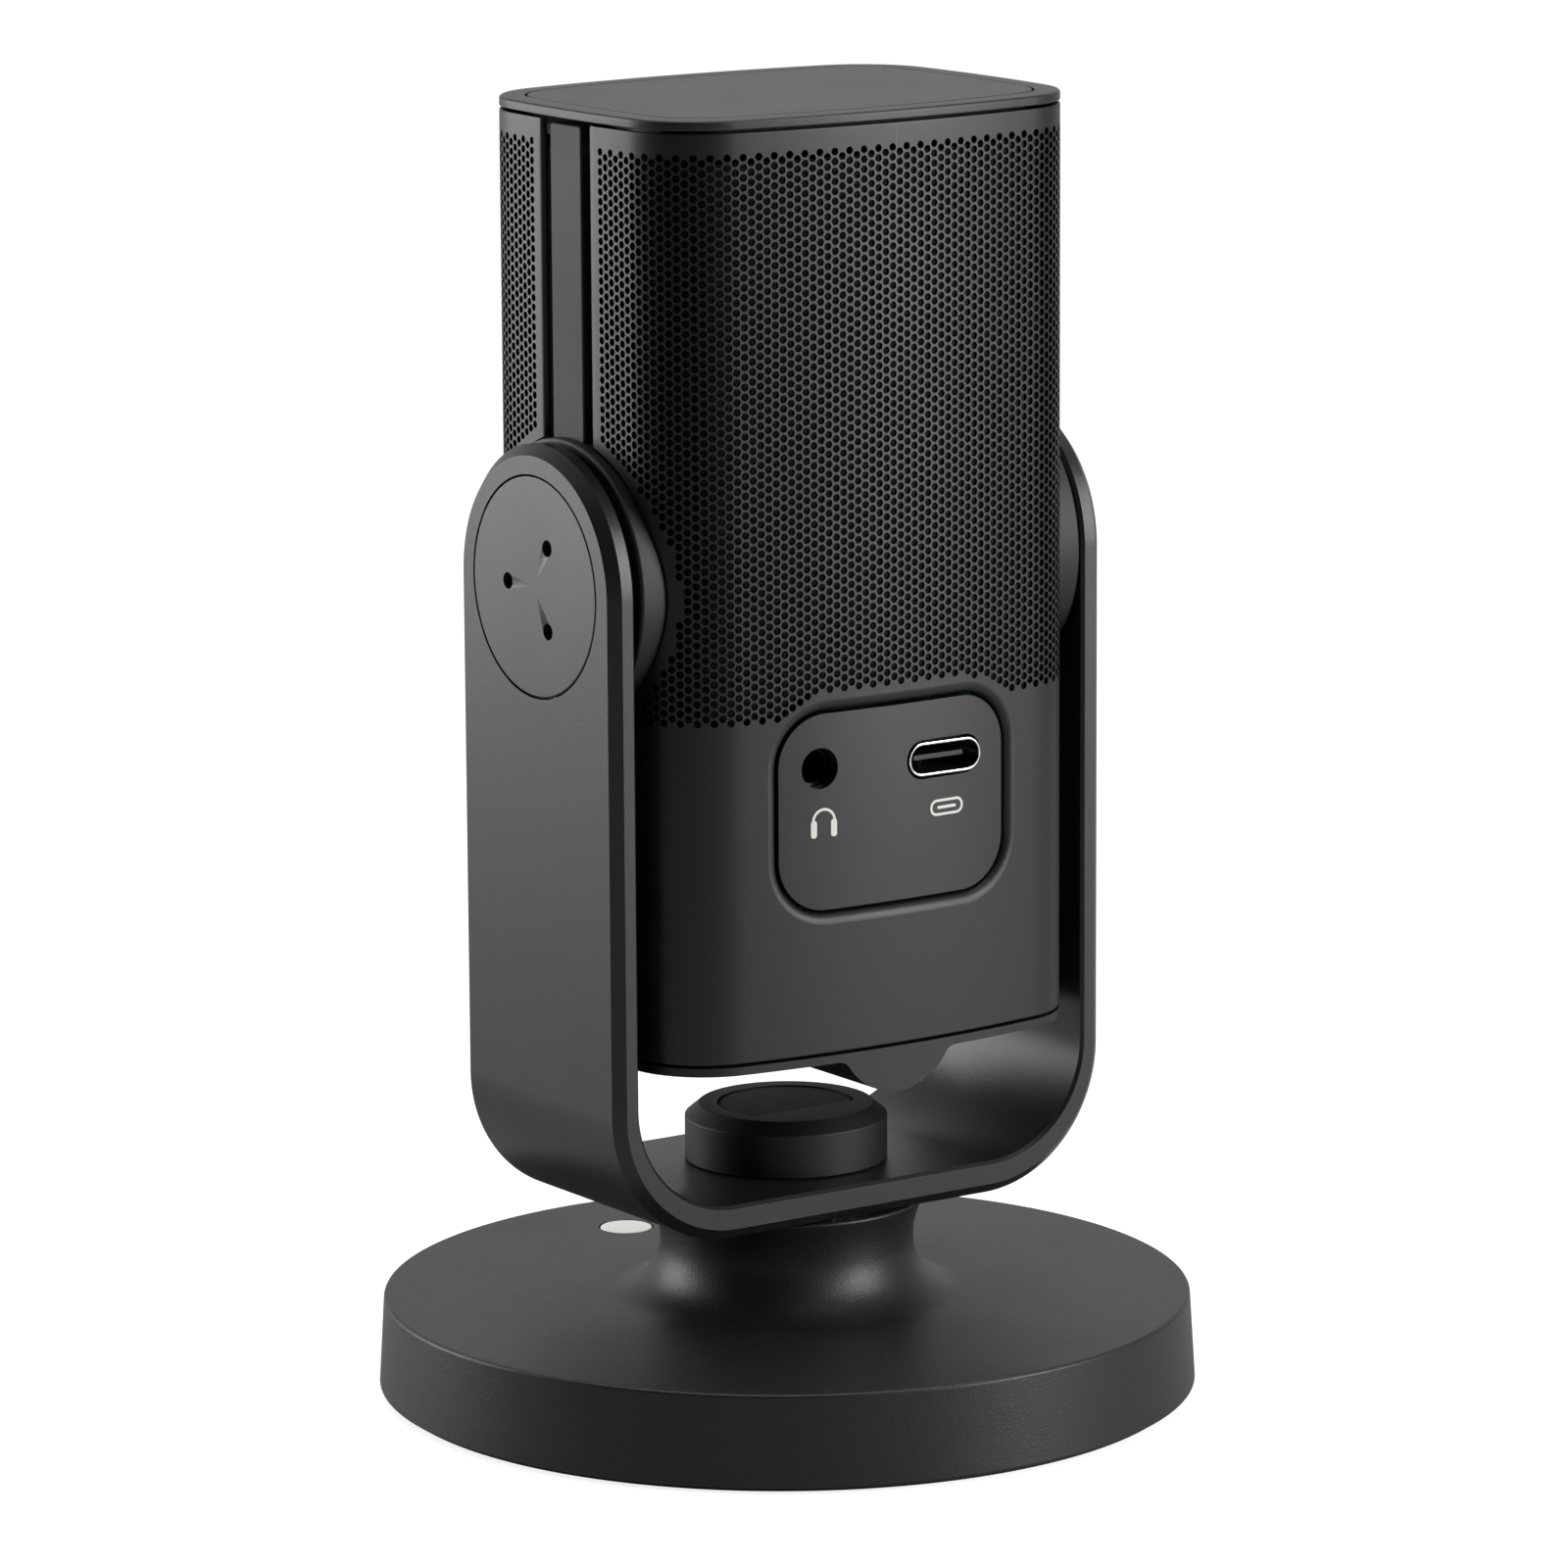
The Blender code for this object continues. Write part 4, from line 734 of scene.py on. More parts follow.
def dissolve_flat(obj, degrees=0.4):
    shape = bmesh.new()
    shape.from_mesh(obj.data)
    bmesh.ops.remove_doubles(shape, verts=shape.verts, dist=0.0005 * MM)
    limit = math.radians(degrees)
    bmesh.ops.dissolve_limit(shape, angle_limit=limit, verts=shape.verts, edges=shape.edges)
    shape.to_mesh(obj.data)
    shape.free()


def soften_edges(obj, width, segments=2, degrees=40):
    bevel = obj.modifiers.new("Edge", "BEVEL")
    bevel.width = width
    bevel.segments = segments
    bevel.limit_method = "ANGLE"
    bevel.angle_limit = math.radians(degrees)
    settle(obj)


def finish(obj, body, slot, *nodes, sharp=32, ink=None):
    """Give a piece its finish and shading, attach it to its body, and hide the nodes it stands for."""
    obj.data.materials.clear()
    obj.data.materials.append(FINISH_SLOTS[ink or slot])
    obj.data.shade_smooth()
    obj.data.set_sharp_from_angle(angle=math.radians(sharp))
    weighted = obj.modifiers.new("Weighted normals", "WEIGHTED_NORMAL")
    weighted.keep_sharp = True
    settle(obj)
    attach(obj, body)
    if nodes:
        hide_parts(*nodes)
    return obj


def refinish(node, slot):
    """Give a node that keeps its shape its finish."""
    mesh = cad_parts[node].data
    mesh.materials.clear()
    mesh.materials.append(FINISH_SLOTS[slot])


SIDES = ((-1, "left"), (1, "right"))
QUARTER_TURN = (0.4, 0.8, 1.2, 1.57)


# ---------------------------------------------------------------- base

def neck_profile(sizes):
    """The neck's waisted side, from its top rim down to the base's upper face."""
    rim = high("yoke_boss").x + 4 * MM
    points = []
    for step in range(6):
        part = 1 - step / 6
        radius = sizes.waist_radius + (rim - sizes.waist_radius) * part**2
        points.append((radius, sizes.waist_height + (NECK_TOP - sizes.waist_height) * part))
    drop = sizes.waist_height - DISC_TOP
    for step in range(17):
        turn = math.pi / 2 * step / 16
        radius = sizes.waist_radius + sizes.fillet_width * (1 - math.cos(turn))
        points.append((radius, sizes.waist_height - drop * math.sin(turn)))
    return points


class MakeBase(bpy.types.Operator):
    """Make the weighted base with its neck, with a recess for the pad under it and a seat for the
    marker on it
    """

    bl_idname = "microphone.make_base"
    bl_label = "Base"

    def execute(self, context):
        sizes = settings("stand")
        seat = high("stand_magnet").x + CUT_GAP
        stud = high("stand_stud").x + FIT_GAP
        floor = low("stand_magnet").z - FIT_GAP
        stud_floor = low("stand_stud").z - FIT_GAP
        pad = high("foot_pad").x + CUT_GAP
        under = high("foot_pad").z + FIT_GAP
        bottom = low("base_weight").z
        neck = neck_profile(sizes)
        profile = [(stud, stud_floor), (stud, floor), (seat, floor), (seat, NECK_TOP)] + neck
        rounding = {3: 0.15 * MM, 4: 0.25 * MM}
        rounding[len(profile)] = sizes.base_edge
        rounding[len(profile) + 1] = 0.2 * MM
        profile += [(sizes.base_top_radius, DISC_TOP), (BASE_RADIUS, bottom)]
        profile += [(pad, bottom), (pad, under)]
        base = turned("base_body", soften_profile(profile, rounding, 5), steps=224)
        marker = middle("front_marker")
        hole = high("front_marker").x + sizes.marker_groove
        top = high("front_marker").z
        depth = top - low("front_marker").z + FIT_GAP
        seat = [(hole, top - depth), (hole, top + depth)]
        carve(base, turned("marker_seat", seat, centre=(0, marker.y, 0), steps=48))
        finish(base, "base", "base_paint", "base_weight")
        return {"FINISHED"}


class MakeFoot(bpy.types.Operator):
    """Make the rubber pad under the base and the cream marker on top of it"""

    bl_idname = "microphone.make_foot"
    bl_label = "Foot pad and marker"

    def execute(self, context):
        radius = high("foot_pad").x
        top = high("foot_pad").z
        profile = [(radius, top), (radius, 0.0), (radius - 5 * MM, 0.0)]
        foot = turned("foot_disc", soften_profile(profile, {1: 0.25 * MM}), steps=192)
        finish(foot, "base", "foot_rubber", "foot_pad")
        marker = middle("front_marker")
        edge = high("front_marker").x
        face = high("front_marker").z
        profile = [(edge, low("front_marker").z), (edge, face), (edge - OVERRUN, face)]
        profile = soften_profile(profile, {1: 0.12 * MM})
        disc = turned("marker_disc", profile, centre=(0, marker.y, 0), steps=64)
        finish(disc, "base", "marker_cream", "front_marker")
        return {"FINISHED"}


class MakeMagnet(bpy.types.Operator):
    """Make the threaded stud in the neck, and finish the magnet and the plate that it holds"""

    bl_idname = "microphone.make_magnet"
    bl_label = "Magnet and stud"

    pitch: length("Thread pitch", "Distance between the stud's threads", 1.0)
    thread_depth: length("Thread depth", "Depth of the stud's threads", 0.45)

    def execute(self, context):
        bottom, top = low("stand_stud").z, high("stand_stud").z
        radius = high("stand_stud").x
        steps = 48
        turns = np.linspace(0, 2 * np.pi, steps, endpoint=False)
        loops = []
        for height in np.arange(bottom, top, self.pitch / 8):
            phase = (height / self.pitch - turns / (2 * np.pi)) % 1.0
            taper = min((top - height) / (0.8 * MM), 1.0)
            reach = (radius - self.thread_depth * np.abs(2 * phase - 1)) * (0.8 + 0.2 * taper)
            level = np.full(steps, height)
            loops.append(np.column_stack([reach * np.cos(turns), reach * np.sin(turns), level]))
        finish(stack("threaded_stud", loops), "base", "stud_steel", "stand_stud", sharp=20)
        refinish("stand_magnet", "magnet_steel")
        refinish("keeper_ring", "magnet_steel")
        refinish("thread_insert", "insert_brass")
        return {"FINISHED"}


# ---------------------------------------------------------------- yoke

def yoke_outline(sizes):
    """The U seen along Y: outside from the left arm's top round to the right, then back inside."""
    top = PIVOT_HEIGHT + 2 * STRAP_HALF
    outer, inner = sizes.outer_bend, sizes.inner_bend
    bottom = low("yoke").z
    bridge = bottom + sizes.bridge_thickness
    inside = ARM_OUTSIDE - sizes.arm_thickness
    points = [(-ARM_OUTSIDE, top)]
    points += arc((outer - ARM_OUTSIDE, bottom + outer), outer, 180, 270, 32)
    points += arc((ARM_OUTSIDE - outer, bottom + outer), outer, 270, 360, 32)
    points += [(ARM_OUTSIDE, top), (inside, top)]
    points += arc((inside - inner, bridge + inner), inner, 0, -90, 32)
    points += arc((inner - inside, bridge + inner), inner, -90, -180, 32)
    points += [(-inside, top)]
    return points


def strap_outline():
    """The arm seen along X: straight sides under a half-round top."""
    foot = low("yoke").z - STRAP_HALF
    return [(-STRAP_HALF, foot), (STRAP_HALF, foot)] + arc((0, PIVOT_HEIGHT), STRAP_HALF, 0, 180, 96)


def weight_yoke_edges(obj, sizes):
    """Weight the strap's long edges for the bevel: full on the outside, slight on the inside."""
    shape = bmesh.new()
    shape.from_mesh(obj.data)
    layer = shape.edges.layers.float.new("bevel_weight_edge")
    straight = ARM_OUTSIDE - sizes.outer_bend
    level = low("yoke").z + sizes.outer_bend
    for edge in shape.edges:
        if len(edge.link_faces) != 2 or edge.calc_face_angle(0.0) < math.radians(45):
            continue
        spot = (edge.verts[0].co + edge.verts[1].co) / 2
        reach = math.hypot(max(abs(spot.x) - straight, 0), max(level - spot.z, 0))
        outside = reach > sizes.outer_bend - sizes.arm_thickness / 2
        edge[layer] = 1.0 if outside else sizes.inner_chamfer / sizes.chamfer
    shape.to_mesh(obj.data)
    shape.free()


class MakeYoke(bpy.types.Operator):
    """Make the U-shaped yoke with its chamfered edges and the stepped holes for the pivots"""

    bl_idname = "microphone.make_yoke"
    bl_label = "Yoke"

    def execute(self, context):
        sizes = settings("stand")
        yoke = plate("yoke_strap", [yoke_outline(sizes)], -2 * STRAP_HALF, 2 * STRAP_HALF, "Y")
        sides = plate("strap_sides", [strap_outline()], -2 * ARM_OUTSIDE, 2 * ARM_OUTSIDE, "X")
        carve(yoke, sides, "INTERSECT")
        dissolve_flat(yoke)
        weight_yoke_edges(yoke, sizes)
        bevel = yoke.modifiers.new("Chamfer", "BEVEL")
        bevel.width = sizes.chamfer * math.sqrt(2)
        bevel.offset_type = "WIDTH"
        bevel.segments = 1
        bevel.limit_method = "WEIGHT"
        settle(yoke)
        for side, name in SIDES:
            self.cut_arm(yoke, side, name, sizes)
        self.cut_bridge(yoke)
        finish(yoke, "yoke", "yoke_paint", "yoke", sharp=25)
        return {"FINISHED"}

    def cut_arm(self, yoke, side, name, sizes):
        cap = high("pivot_cap_" + name)
        cap_radius = cap.y + 0.2 * MM
        cap_floor = ARM_OUTSIDE - (cap.x - low("pivot_cap_" + name).x) - FIT_GAP
        axle = AXLE_RADIUS + FIT_GAP
        profile = [(cap_radius, ARM_OUTSIDE + OVERRUN), (cap_radius, cap_floor), (axle, cap_floor),
                   (axle, ARM_OUTSIDE - sizes.arm_thickness - OVERRUN)]
        profile = [(radius, side * height) for radius, height in profile]
        carve(yoke, turned("arm_hole", profile, "X", (0, 0, PIVOT_HEIGHT), 96))

    def cut_bridge(self, yoke):
        bottom = low("yoke").z
        seat = high("keeper_ring").x + CUT_GAP
        seat_top = high("keeper_ring").z + CUT_GAP
        bore = high("thread_insert").x + FIT_GAP
        top = bottom + settings("stand").bridge_thickness
        profile = [(bore, top + OVERRUN), (bore, seat_top), (seat, seat_top), (seat, bottom - OVERRUN)]
        carve(yoke, turned("bridge_bore", profile, steps=96))


class MakeBoss(bpy.types.Operator):
    """Make the round boss on the yoke's bridge and the stippled pad set in its top"""

    bl_idname = "microphone.make_boss"
    bl_label = "Boss and pad"

    def execute(self, context):
        sizes = settings("stand")
        top = high("yoke_boss").z
        bottom = low("yoke_boss").z
        wide = high("yoke_boss").x
        shoulder = top - sizes.boss_chamfer_height
        bore = high("thread_insert").x + FIT_GAP
        roof = high("thread_insert").z + CUT_GAP
        rim = sizes.boss_top_radius
        profile = [(CORE_RADIUS, top), (rim, top), (wide, shoulder), (wide, bottom), (bore, bottom),
                   (bore, roof), (CORE_RADIUS, roof)]
        profile = soften_profile(profile, {1: 0.2 * MM, 2: 0.25 * MM, 3: 0.15 * MM})
        boss = turned("boss", profile, steps=128)
        seat = self.pad_outline(0.2 * MM)
        carve(boss, plate("pad_seat", [seat], low("boss_pad").z - FIT_GAP, top + OVERRUN))
        finish(boss, "yoke", "boss_plastic", "yoke_boss")
        self.make_pad()
        return {"FINISHED"}

    def pad_outline(self, margin):
        """A round outline cut straight across its rear side."""
        radius = high("boss_pad").x + margin
        chord = high("boss_pad").y + margin
        turn = math.degrees(math.asin(chord / radius))
        return arc((0, 0), radius, 180 - turn, 360 + turn, 60)

    def make_pad(self):
        bottom, top = low("boss_pad").z, high("boss_pad").z
        edge = 0.3 * MM
        levels = rounded_levels(bottom, top, edge, QUARTER_TURN)
        loops = []
        for inset, height in levels:
            outline = np.array(self.pad_outline(-inset))
            loops.append(np.column_stack([outline, np.full(len(outline), height)]))
        finish(stack("pad", loops), "yoke", "pad_rubber", "boss_pad")


class MakePivotCaps(bpy.types.Operator):
    """Make the two round caps over the pivots, with three spanner holes each"""

    bl_idname = "microphone.make_pivot_caps"
    bl_label = "Pivot caps"

    def execute(self, context):
        sizes = settings("stand")
        for side, name in SIDES:
            node = "pivot_cap_" + name
            radius = high(node).y
            thickness = high(node).x - low(node).x
            back = ARM_OUTSIDE - thickness
            profile = disc_profile(radius, back, ARM_OUTSIDE)
            profile = soften_profile(profile, {1: 0.16 * MM, 2: 0.1 * MM})
            profile = [(reach, side * height) for reach, height in profile]
            cap = turned("cap_" + name, profile, "X", (0, 0, PIVOT_HEIGHT), 160)
            for turn in (60, 180, 300):
                centre = (0, sizes.pin_hole_circle * math.cos(math.radians(turn)),
                          PIVOT_HEIGHT + sizes.pin_hole_circle * math.sin(math.radians(turn)))
                ends = sorted((side * (back - OVERRUN), side * (ARM_OUTSIDE + OVERRUN)))
                hole = [(sizes.pin_hole_radius, ends[0]), (sizes.pin_hole_radius, ends[1])]
                carve(cap, turned("pin_hole", hole, "X", centre, 32))
            soften_edges(cap, 0.08 * MM, 2, 60)
            finish(cap, "yoke", "pivot_cap_paint", node)
        return {"FINISHED"}


# ---------------------------------------------------------------- side rails

class MakeSideRails(bpy.types.Operator):
    """Make the strip down each side with its round hub, and finish the axles and washers"""

    bl_idname = "microphone.make_side_rails"
    bl_label = "Side rails"

    def execute(self, context):
        sizes = settings("head")
        for side, name in SIDES:
            node = "side_rail_" + name
            strip_face = HEAD_HALF_WIDTH - FIT_GAP
            strip_back = strip_face - 3.2 * MM
            half = sizes.strip_half
            bottom, top = low(node).z, high(node).z
            centre_height = (bottom + top) / 2
            edge = 0.25 * MM
            levels = rounded_levels(strip_back, strip_face, edge, (0.5, 1.0, 1.57))
            loops = []
            for inset, x in levels:
                half_height = (top - bottom) / 2 - inset
                outline = np.array(rounded_rectangle(half - inset, half_height, 0.4 * MM, 4))
                level = np.full(len(outline), side * x)
                loops.append(np.column_stack([level, outline[:, 0], outline[:, 1] + centre_height]))
            rail = stack("rail_" + name, loops)
            back = HUB_FACE - HUB_DEPTH
            profile = disc_profile(HUB_RADIUS, back, HUB_FACE)
            profile = soften_profile(profile, {1: 0.35 * MM})
            profile = [(reach, side * height) for reach, height in profile]
            hub = turned("hub_" + name, profile, "X", (0, 0, PIVOT_HEIGHT), 128)
            hole = AXLE_RADIUS + FIT_GAP
            ends = sorted((side * (back - 2 * MM), side * (HUB_FACE + 2 * MM)))
            for piece, radius in ((rail, HUB_RADIUS - OVERRUN), (hub, hole)):
                cutter = [(radius, ends[0]), (radius, ends[1])]
                carve(piece, turned("axle_hole", cutter, "X", (0, 0, PIVOT_HEIGHT), 64))
            finish(rail, "head", "rail_plastic", node)
            finish(hub, "head", "rail_plastic", ink="washer_plastic")
            refinish("pivot_axle_" + name, "axle_steel")
            refinish("friction_washer_" + name, "washer_plastic")
        return {"FINISHED"}


# ---------------------------------------------------------------- perforated skin

class Sheet:
    """The skin of the front or rear half: a lattice of columns with staggered round holes."""

    CORNERS = 8

    def __init__(self, plan, sizes, side):
        self.plan = plan
        self.sizes = sizes
        self.side = side
        middle_place = plan.length / 2
        room = middle_place - sizes.first_column
        self.half_columns = round(room / sizes.hole_pitch + 0.5)
        self.pitch = room / (self.half_columns - 0.5)
        self.half_steps = 2 * round((sizes.grille_top - sizes.grille_bottom) / sizes.hole_step)
        self.step = (sizes.grille_top - sizes.grille_bottom) / self.half_steps
        self.lines = self.place_lines(middle_place)
        self.rows = self.place_rows()

    def place_lines(self, middle_place):
        """The upright lines as (place along, inset), from the right seam to the left one."""
        roll = self.sizes.seam_roll
        start = SEAM_HALF
        first = middle_place - self.half_columns * self.pitch
        lines = []
        for turn in (90, 67, 45, 22, 0):
            reach = math.radians(turn)
            lines.append((start + roll * (1 - math.sin(reach)), roll * (1 - math.cos(reach))))
        plain = (first + start + roll) / 2
        lines.append((plain, 0.0))
        self.first_line = len(lines)
        lines += [(first + column * self.pitch, 0.0) for column in range(2 * self.half_columns + 1)]
        ending = reversed(lines[:self.first_line])
        return lines + [(self.plan.length - place, inset) for place, inset in ending]

    def place_rows(self):
        """The level rows as (height, inset), from the bottom edge to the top one."""
        edge = 0.2 * MM
        part = 0.3 * edge
        bottom = self.sizes.grille_bottom
        rows = [(SHELL_BOTTOM, edge), (SHELL_BOTTOM + part, part), (SHELL_BOTTOM + edge, 0.0)]
        self.first_row = len(rows)
        rows += [(bottom + number * self.step, 0.0) for number in range(self.half_steps + 1)]
        rows += [(SHELL_TOP - edge, 0.0), (SHELL_TOP - part, part), (SHELL_TOP, edge)]
        return rows

    def has_hole(self, place, height):
        x, y = self.plan.at([place])[0]
        radius = self.sizes.hole_radius
        if abs(x) > HEAD_HALF_WIDTH - 3 * MM:
            away = math.hypot(y, height - PIVOT_HEIGHT)
            if away < HUB_RADIUS + 1.0 * MM + radius:
                return False
        if self.side < 0:
            return True
        centre = middle("rear_panel")
        half_width = high("rear_panel").x
        half_height = high("rear_panel").z - centre.z
        corner = self.sizes.panel_corner
        over_x = abs(x) - half_width + corner
        over_z = abs(height - centre.z) - half_height + corner
        away = math.hypot(max(over_x, 0), max(over_z, 0)) + min(max(over_x, over_z), 0) - corner
        return away > self.sizes.panel_margin + radius

    def build(self, name, from_line, to_line):
        """Skin the stretch between two lines, numbered among all the lines."""
        self.points = []
        self.faces = []
        numbers = range(from_line, to_line + 1)
        outer = [self.add_line(number, 0) for number in numbers]
        inner = [self.add_line(number, 1) for number in numbers]
        for index, number in enumerate(numbers[:-1]):
            self.skin_column(number, outer[index:index + 2], inner[index:index + 2])
        last = len(self.rows) - 1
        for out, out_next, back, back_next in zip(outer, outer[1:], inner, inner[1:]):
            self.quad(back[0], back_next[0], out_next[0], out[0])
            self.quad(out[last], out_next[last], back_next[last], back[last])
        for row in range(last):
            self.quad(inner[0][row], outer[0][row], outer[0][row + 1], inner[0][row + 1])
            self.quad(outer[-1][row], inner[-1][row], inner[-1][row + 1], outer[-1][row + 1])
        points = np.array(self.points)
        faces = self.faces
        if self.side < 0:
            points[:, 1] *= -1
            faces = [tuple(reversed(face)) for face in faces]
        mesh = bpy.data.meshes.new(name)
        mesh.from_pydata(points.tolist(), [], faces)
        return new_object(name, mesh)

    def quad(self, *corners):
        self.faces.append(corners)

    def add_line(self, number, back):
        """Add one upright line of points on the outer side, or on the back."""
        place, inset = self.lines[number]
        heights = np.array([height for height, _ in self.rows])
        insets = np.array([edge for _, edge in self.rows])
        depth = np.full(len(heights), self.sizes.sheet) if back else insets + inset
        flat = self.plan.at(np.full(len(heights), place), depth)
        first = len(self.points)
        self.points += np.column_stack([flat, heights]).tolist()
        return list(range(first, first + len(heights)))

    def skin_column(self, number, outer, inner):
        """Skin the strip between two lines, with its holes where the grille has them."""
        column = number - self.first_line
        in_grille = 0 <= column < 2 * self.half_columns
        last = len(self.rows) - 1
        row = 0
        while row < last:
            level = row - self.first_row
            whole = in_grille and 0 <= level <= self.half_steps - 2
            if whole and (level - column) % 2 == 0:
                place = (self.lines[number][0] + self.lines[number + 1][0]) / 2
                height = self.rows[row + 1][0]
                if self.has_hole(place, height):
                    self.skin_hole(place, height, row, outer, inner)
                    row += 2
                    continue
            self.quad(outer[0][row], outer[1][row], outer[1][row + 1], outer[0][row + 1])
            self.quad(inner[1][row], inner[0][row], inner[0][row + 1], inner[1][row + 1])
            row += 1

    def skin_hole(self, place, height, row, outer, inner):
        radius = self.sizes.hole_radius
        turns = np.arange(self.CORNERS) * 2 * np.pi / self.CORNERS
        places = place + radius * np.cos(turns)
        heights = height + radius * np.sin(turns)
        rings = []
        for depth in (0.0, self.sizes.sheet):
            first = len(self.points)
            self.points += np.column_stack([self.plan.at(places, depth), heights]).tolist()
            rings.append(list(range(first, first + self.CORNERS)))
        for side, (lines, ring) in enumerate(zip((outer, inner), rings)):
            left, right = lines
            around = [
                (right[row + 1], right[row + 2], ring[1], ring[0]),
                (right[row + 2], left[row + 2], ring[3], ring[2], ring[1]),
                (left[row + 2], left[row + 1], ring[4], ring[3]),
                (left[row + 1], left[row], ring[5], ring[4]),
                (left[row], right[row], ring[7], ring[6], ring[5]),
                (right[row], right[row + 1], ring[0], ring[7]),
            ]
            self.faces += [tuple(reversed(face)) for face in around] if side else around
        front, back = rings
        for step in range(self.CORNERS):
            after = (step + 1) % self.CORNERS
            self.quad(front[step], front[after], back[after], back[step])


class MakeSkin(bpy.types.Operator):
    """Make the perforated metal skin, in four quarters, and its rolled edge round the rear panel"""

    bl_idname = "microphone.make_skin"
    bl_label = "Perforated skin"

    def execute(self, context):
        sizes = settings("head")
        plan = HeadPlan(sizes)
        for side, name in ((-1, "front"), (1, "rear")):
            sheet = Sheet(plan, sizes, side)
            half_way = sheet.first_line + sheet.half_columns
            last = len(sheet.lines) - 1
            for quarter, ends in (("right", (0, half_way)), ("left", (half_way, last))):
                skin = sheet.build(f"skin_{name}_{quarter}", *ends)
                self.cut_hubs(skin)
                if side > 0:
                    self.cut_panel(skin, sizes)
                else:
                    self.cut_knob(skin)
                finish(skin, "head", "grille_paint", "shell_" + name, sharp=30)
        self.make_lip(plan, sizes)
        return {"FINISHED"}

    def cut_hubs(self, skin):
        radius = HUB_RADIUS + CUT_GAP
        profile = [(radius, -2 * HEAD_HALF_WIDTH), (radius, 2 * HEAD_HALF_WIDTH)]
        carve(skin, turned("hub_hole", profile, "X", (0, 0, PIVOT_HEIGHT), 128), solver="MANIFOLD")

    def cut_knob(self, skin):
        radius = high("volume_knob").x + CUT_GAP
        profile = [(radius, -2 * HEAD_HALF_DEPTH), (radius, -HEAD_HALF_DEPTH / 2)]
        hole = turned("knob_hole", profile, "Y", (0, 0, middle("volume_knob").z), 96)
        carve(skin, hole, solver="MANIFOLD")

    def cut_panel(self, skin, sizes):
        outline = lip_outline(sizes, 0.3 * MM + sizes.panel_lip)
        carve(skin, rear_plate("panel_hole", outline, middle("rear_panel")), solver="MANIFOLD")

    def make_lip(self, plan, sizes):
        """The skin's edge, rolled inwards round the rear panel."""
        centre = (0, middle("rear_panel").z)
        lip = sizes.panel_lip
        gap = 0.3 * MM
        section = [(gap + lip * (1 - math.sin(t)), 0.95 * lip * (1 - math.cos(t)))
                   for t in np.linspace(0, math.pi / 2, 9)]
        section += [(gap, 1.5 * MM), (gap + 0.5 * MM, 1.5 * MM), (gap + lip, 0.75 * MM)]
        loops = []
        for offset, depth in section:
            loops.append(plan.on_rear(lip_outline(sizes, offset), centre, depth))
        finish(stack("panel_lip", loops, ring=True), "head", "grille_paint", sharp=40)


def lip_outline(sizes, offset):
    """The rear panel's outline seen from the rear, grown by offset."""
    half_width = high("rear_panel").x + offset
    half_height = high("rear_panel").z - middle("rear_panel").z + offset
    corner = sizes.panel_corner + offset
    corners = [np.array(point) for point in rounded_rectangle(half_width, half_height, corner, 10)]
    points = []
    for start, end in zip(corners, corners[1:] + corners[:1]):
        points += [tuple(start + (end - start) * step / 12) for step in range(12)]
    return points


# ---------------------------------------------------------------- caps

class MakeTopCap(bpy.types.Operator):
    """Make the top cap with its bevelled rim, and the panel set in it"""

    bl_idname = "microphone.make_top_cap"
    bl_label = "Top cap"

    def execute(self, context):
        sizes = settings("head")
        plan = HeadPlan(sizes)
        top = HEAD_TOP
        rim = high("top_cap").z - SHELL_TOP - CUT_GAP
        seat = low("top_panel").z - FIT_GAP
        inset = sizes.top_inset
        profile = [(3.7 * MM, low("top_cap").z), (3.7 * MM, top - rim), (0.0, top - rim), (0.0, top),
                   (inset, top), (inset, seat)]
        rounding = {2: 0.12 * MM, 3: 0.34 * MM, 4: 0.1 * MM}
        loops = [plan.loop(depth, height) for depth, height in soften_profile(profile, rounding, 5)]
        finish(stack("top_rim", loops), "head", "cap_paint", "top_cap")
        edge = inset + CUT_GAP
        profile = [(edge, low("top_panel").z), (edge, top), (edge + OVERRUN, top)]
        profile = soften_profile(profile, {1: 0.1 * MM}, 4)
        loops = [plan.loop(depth, height) for depth, height in profile]
        finish(stack("top_inlay", loops), "head", "cap_paint", "top_panel")
        return {"FINISHED"}


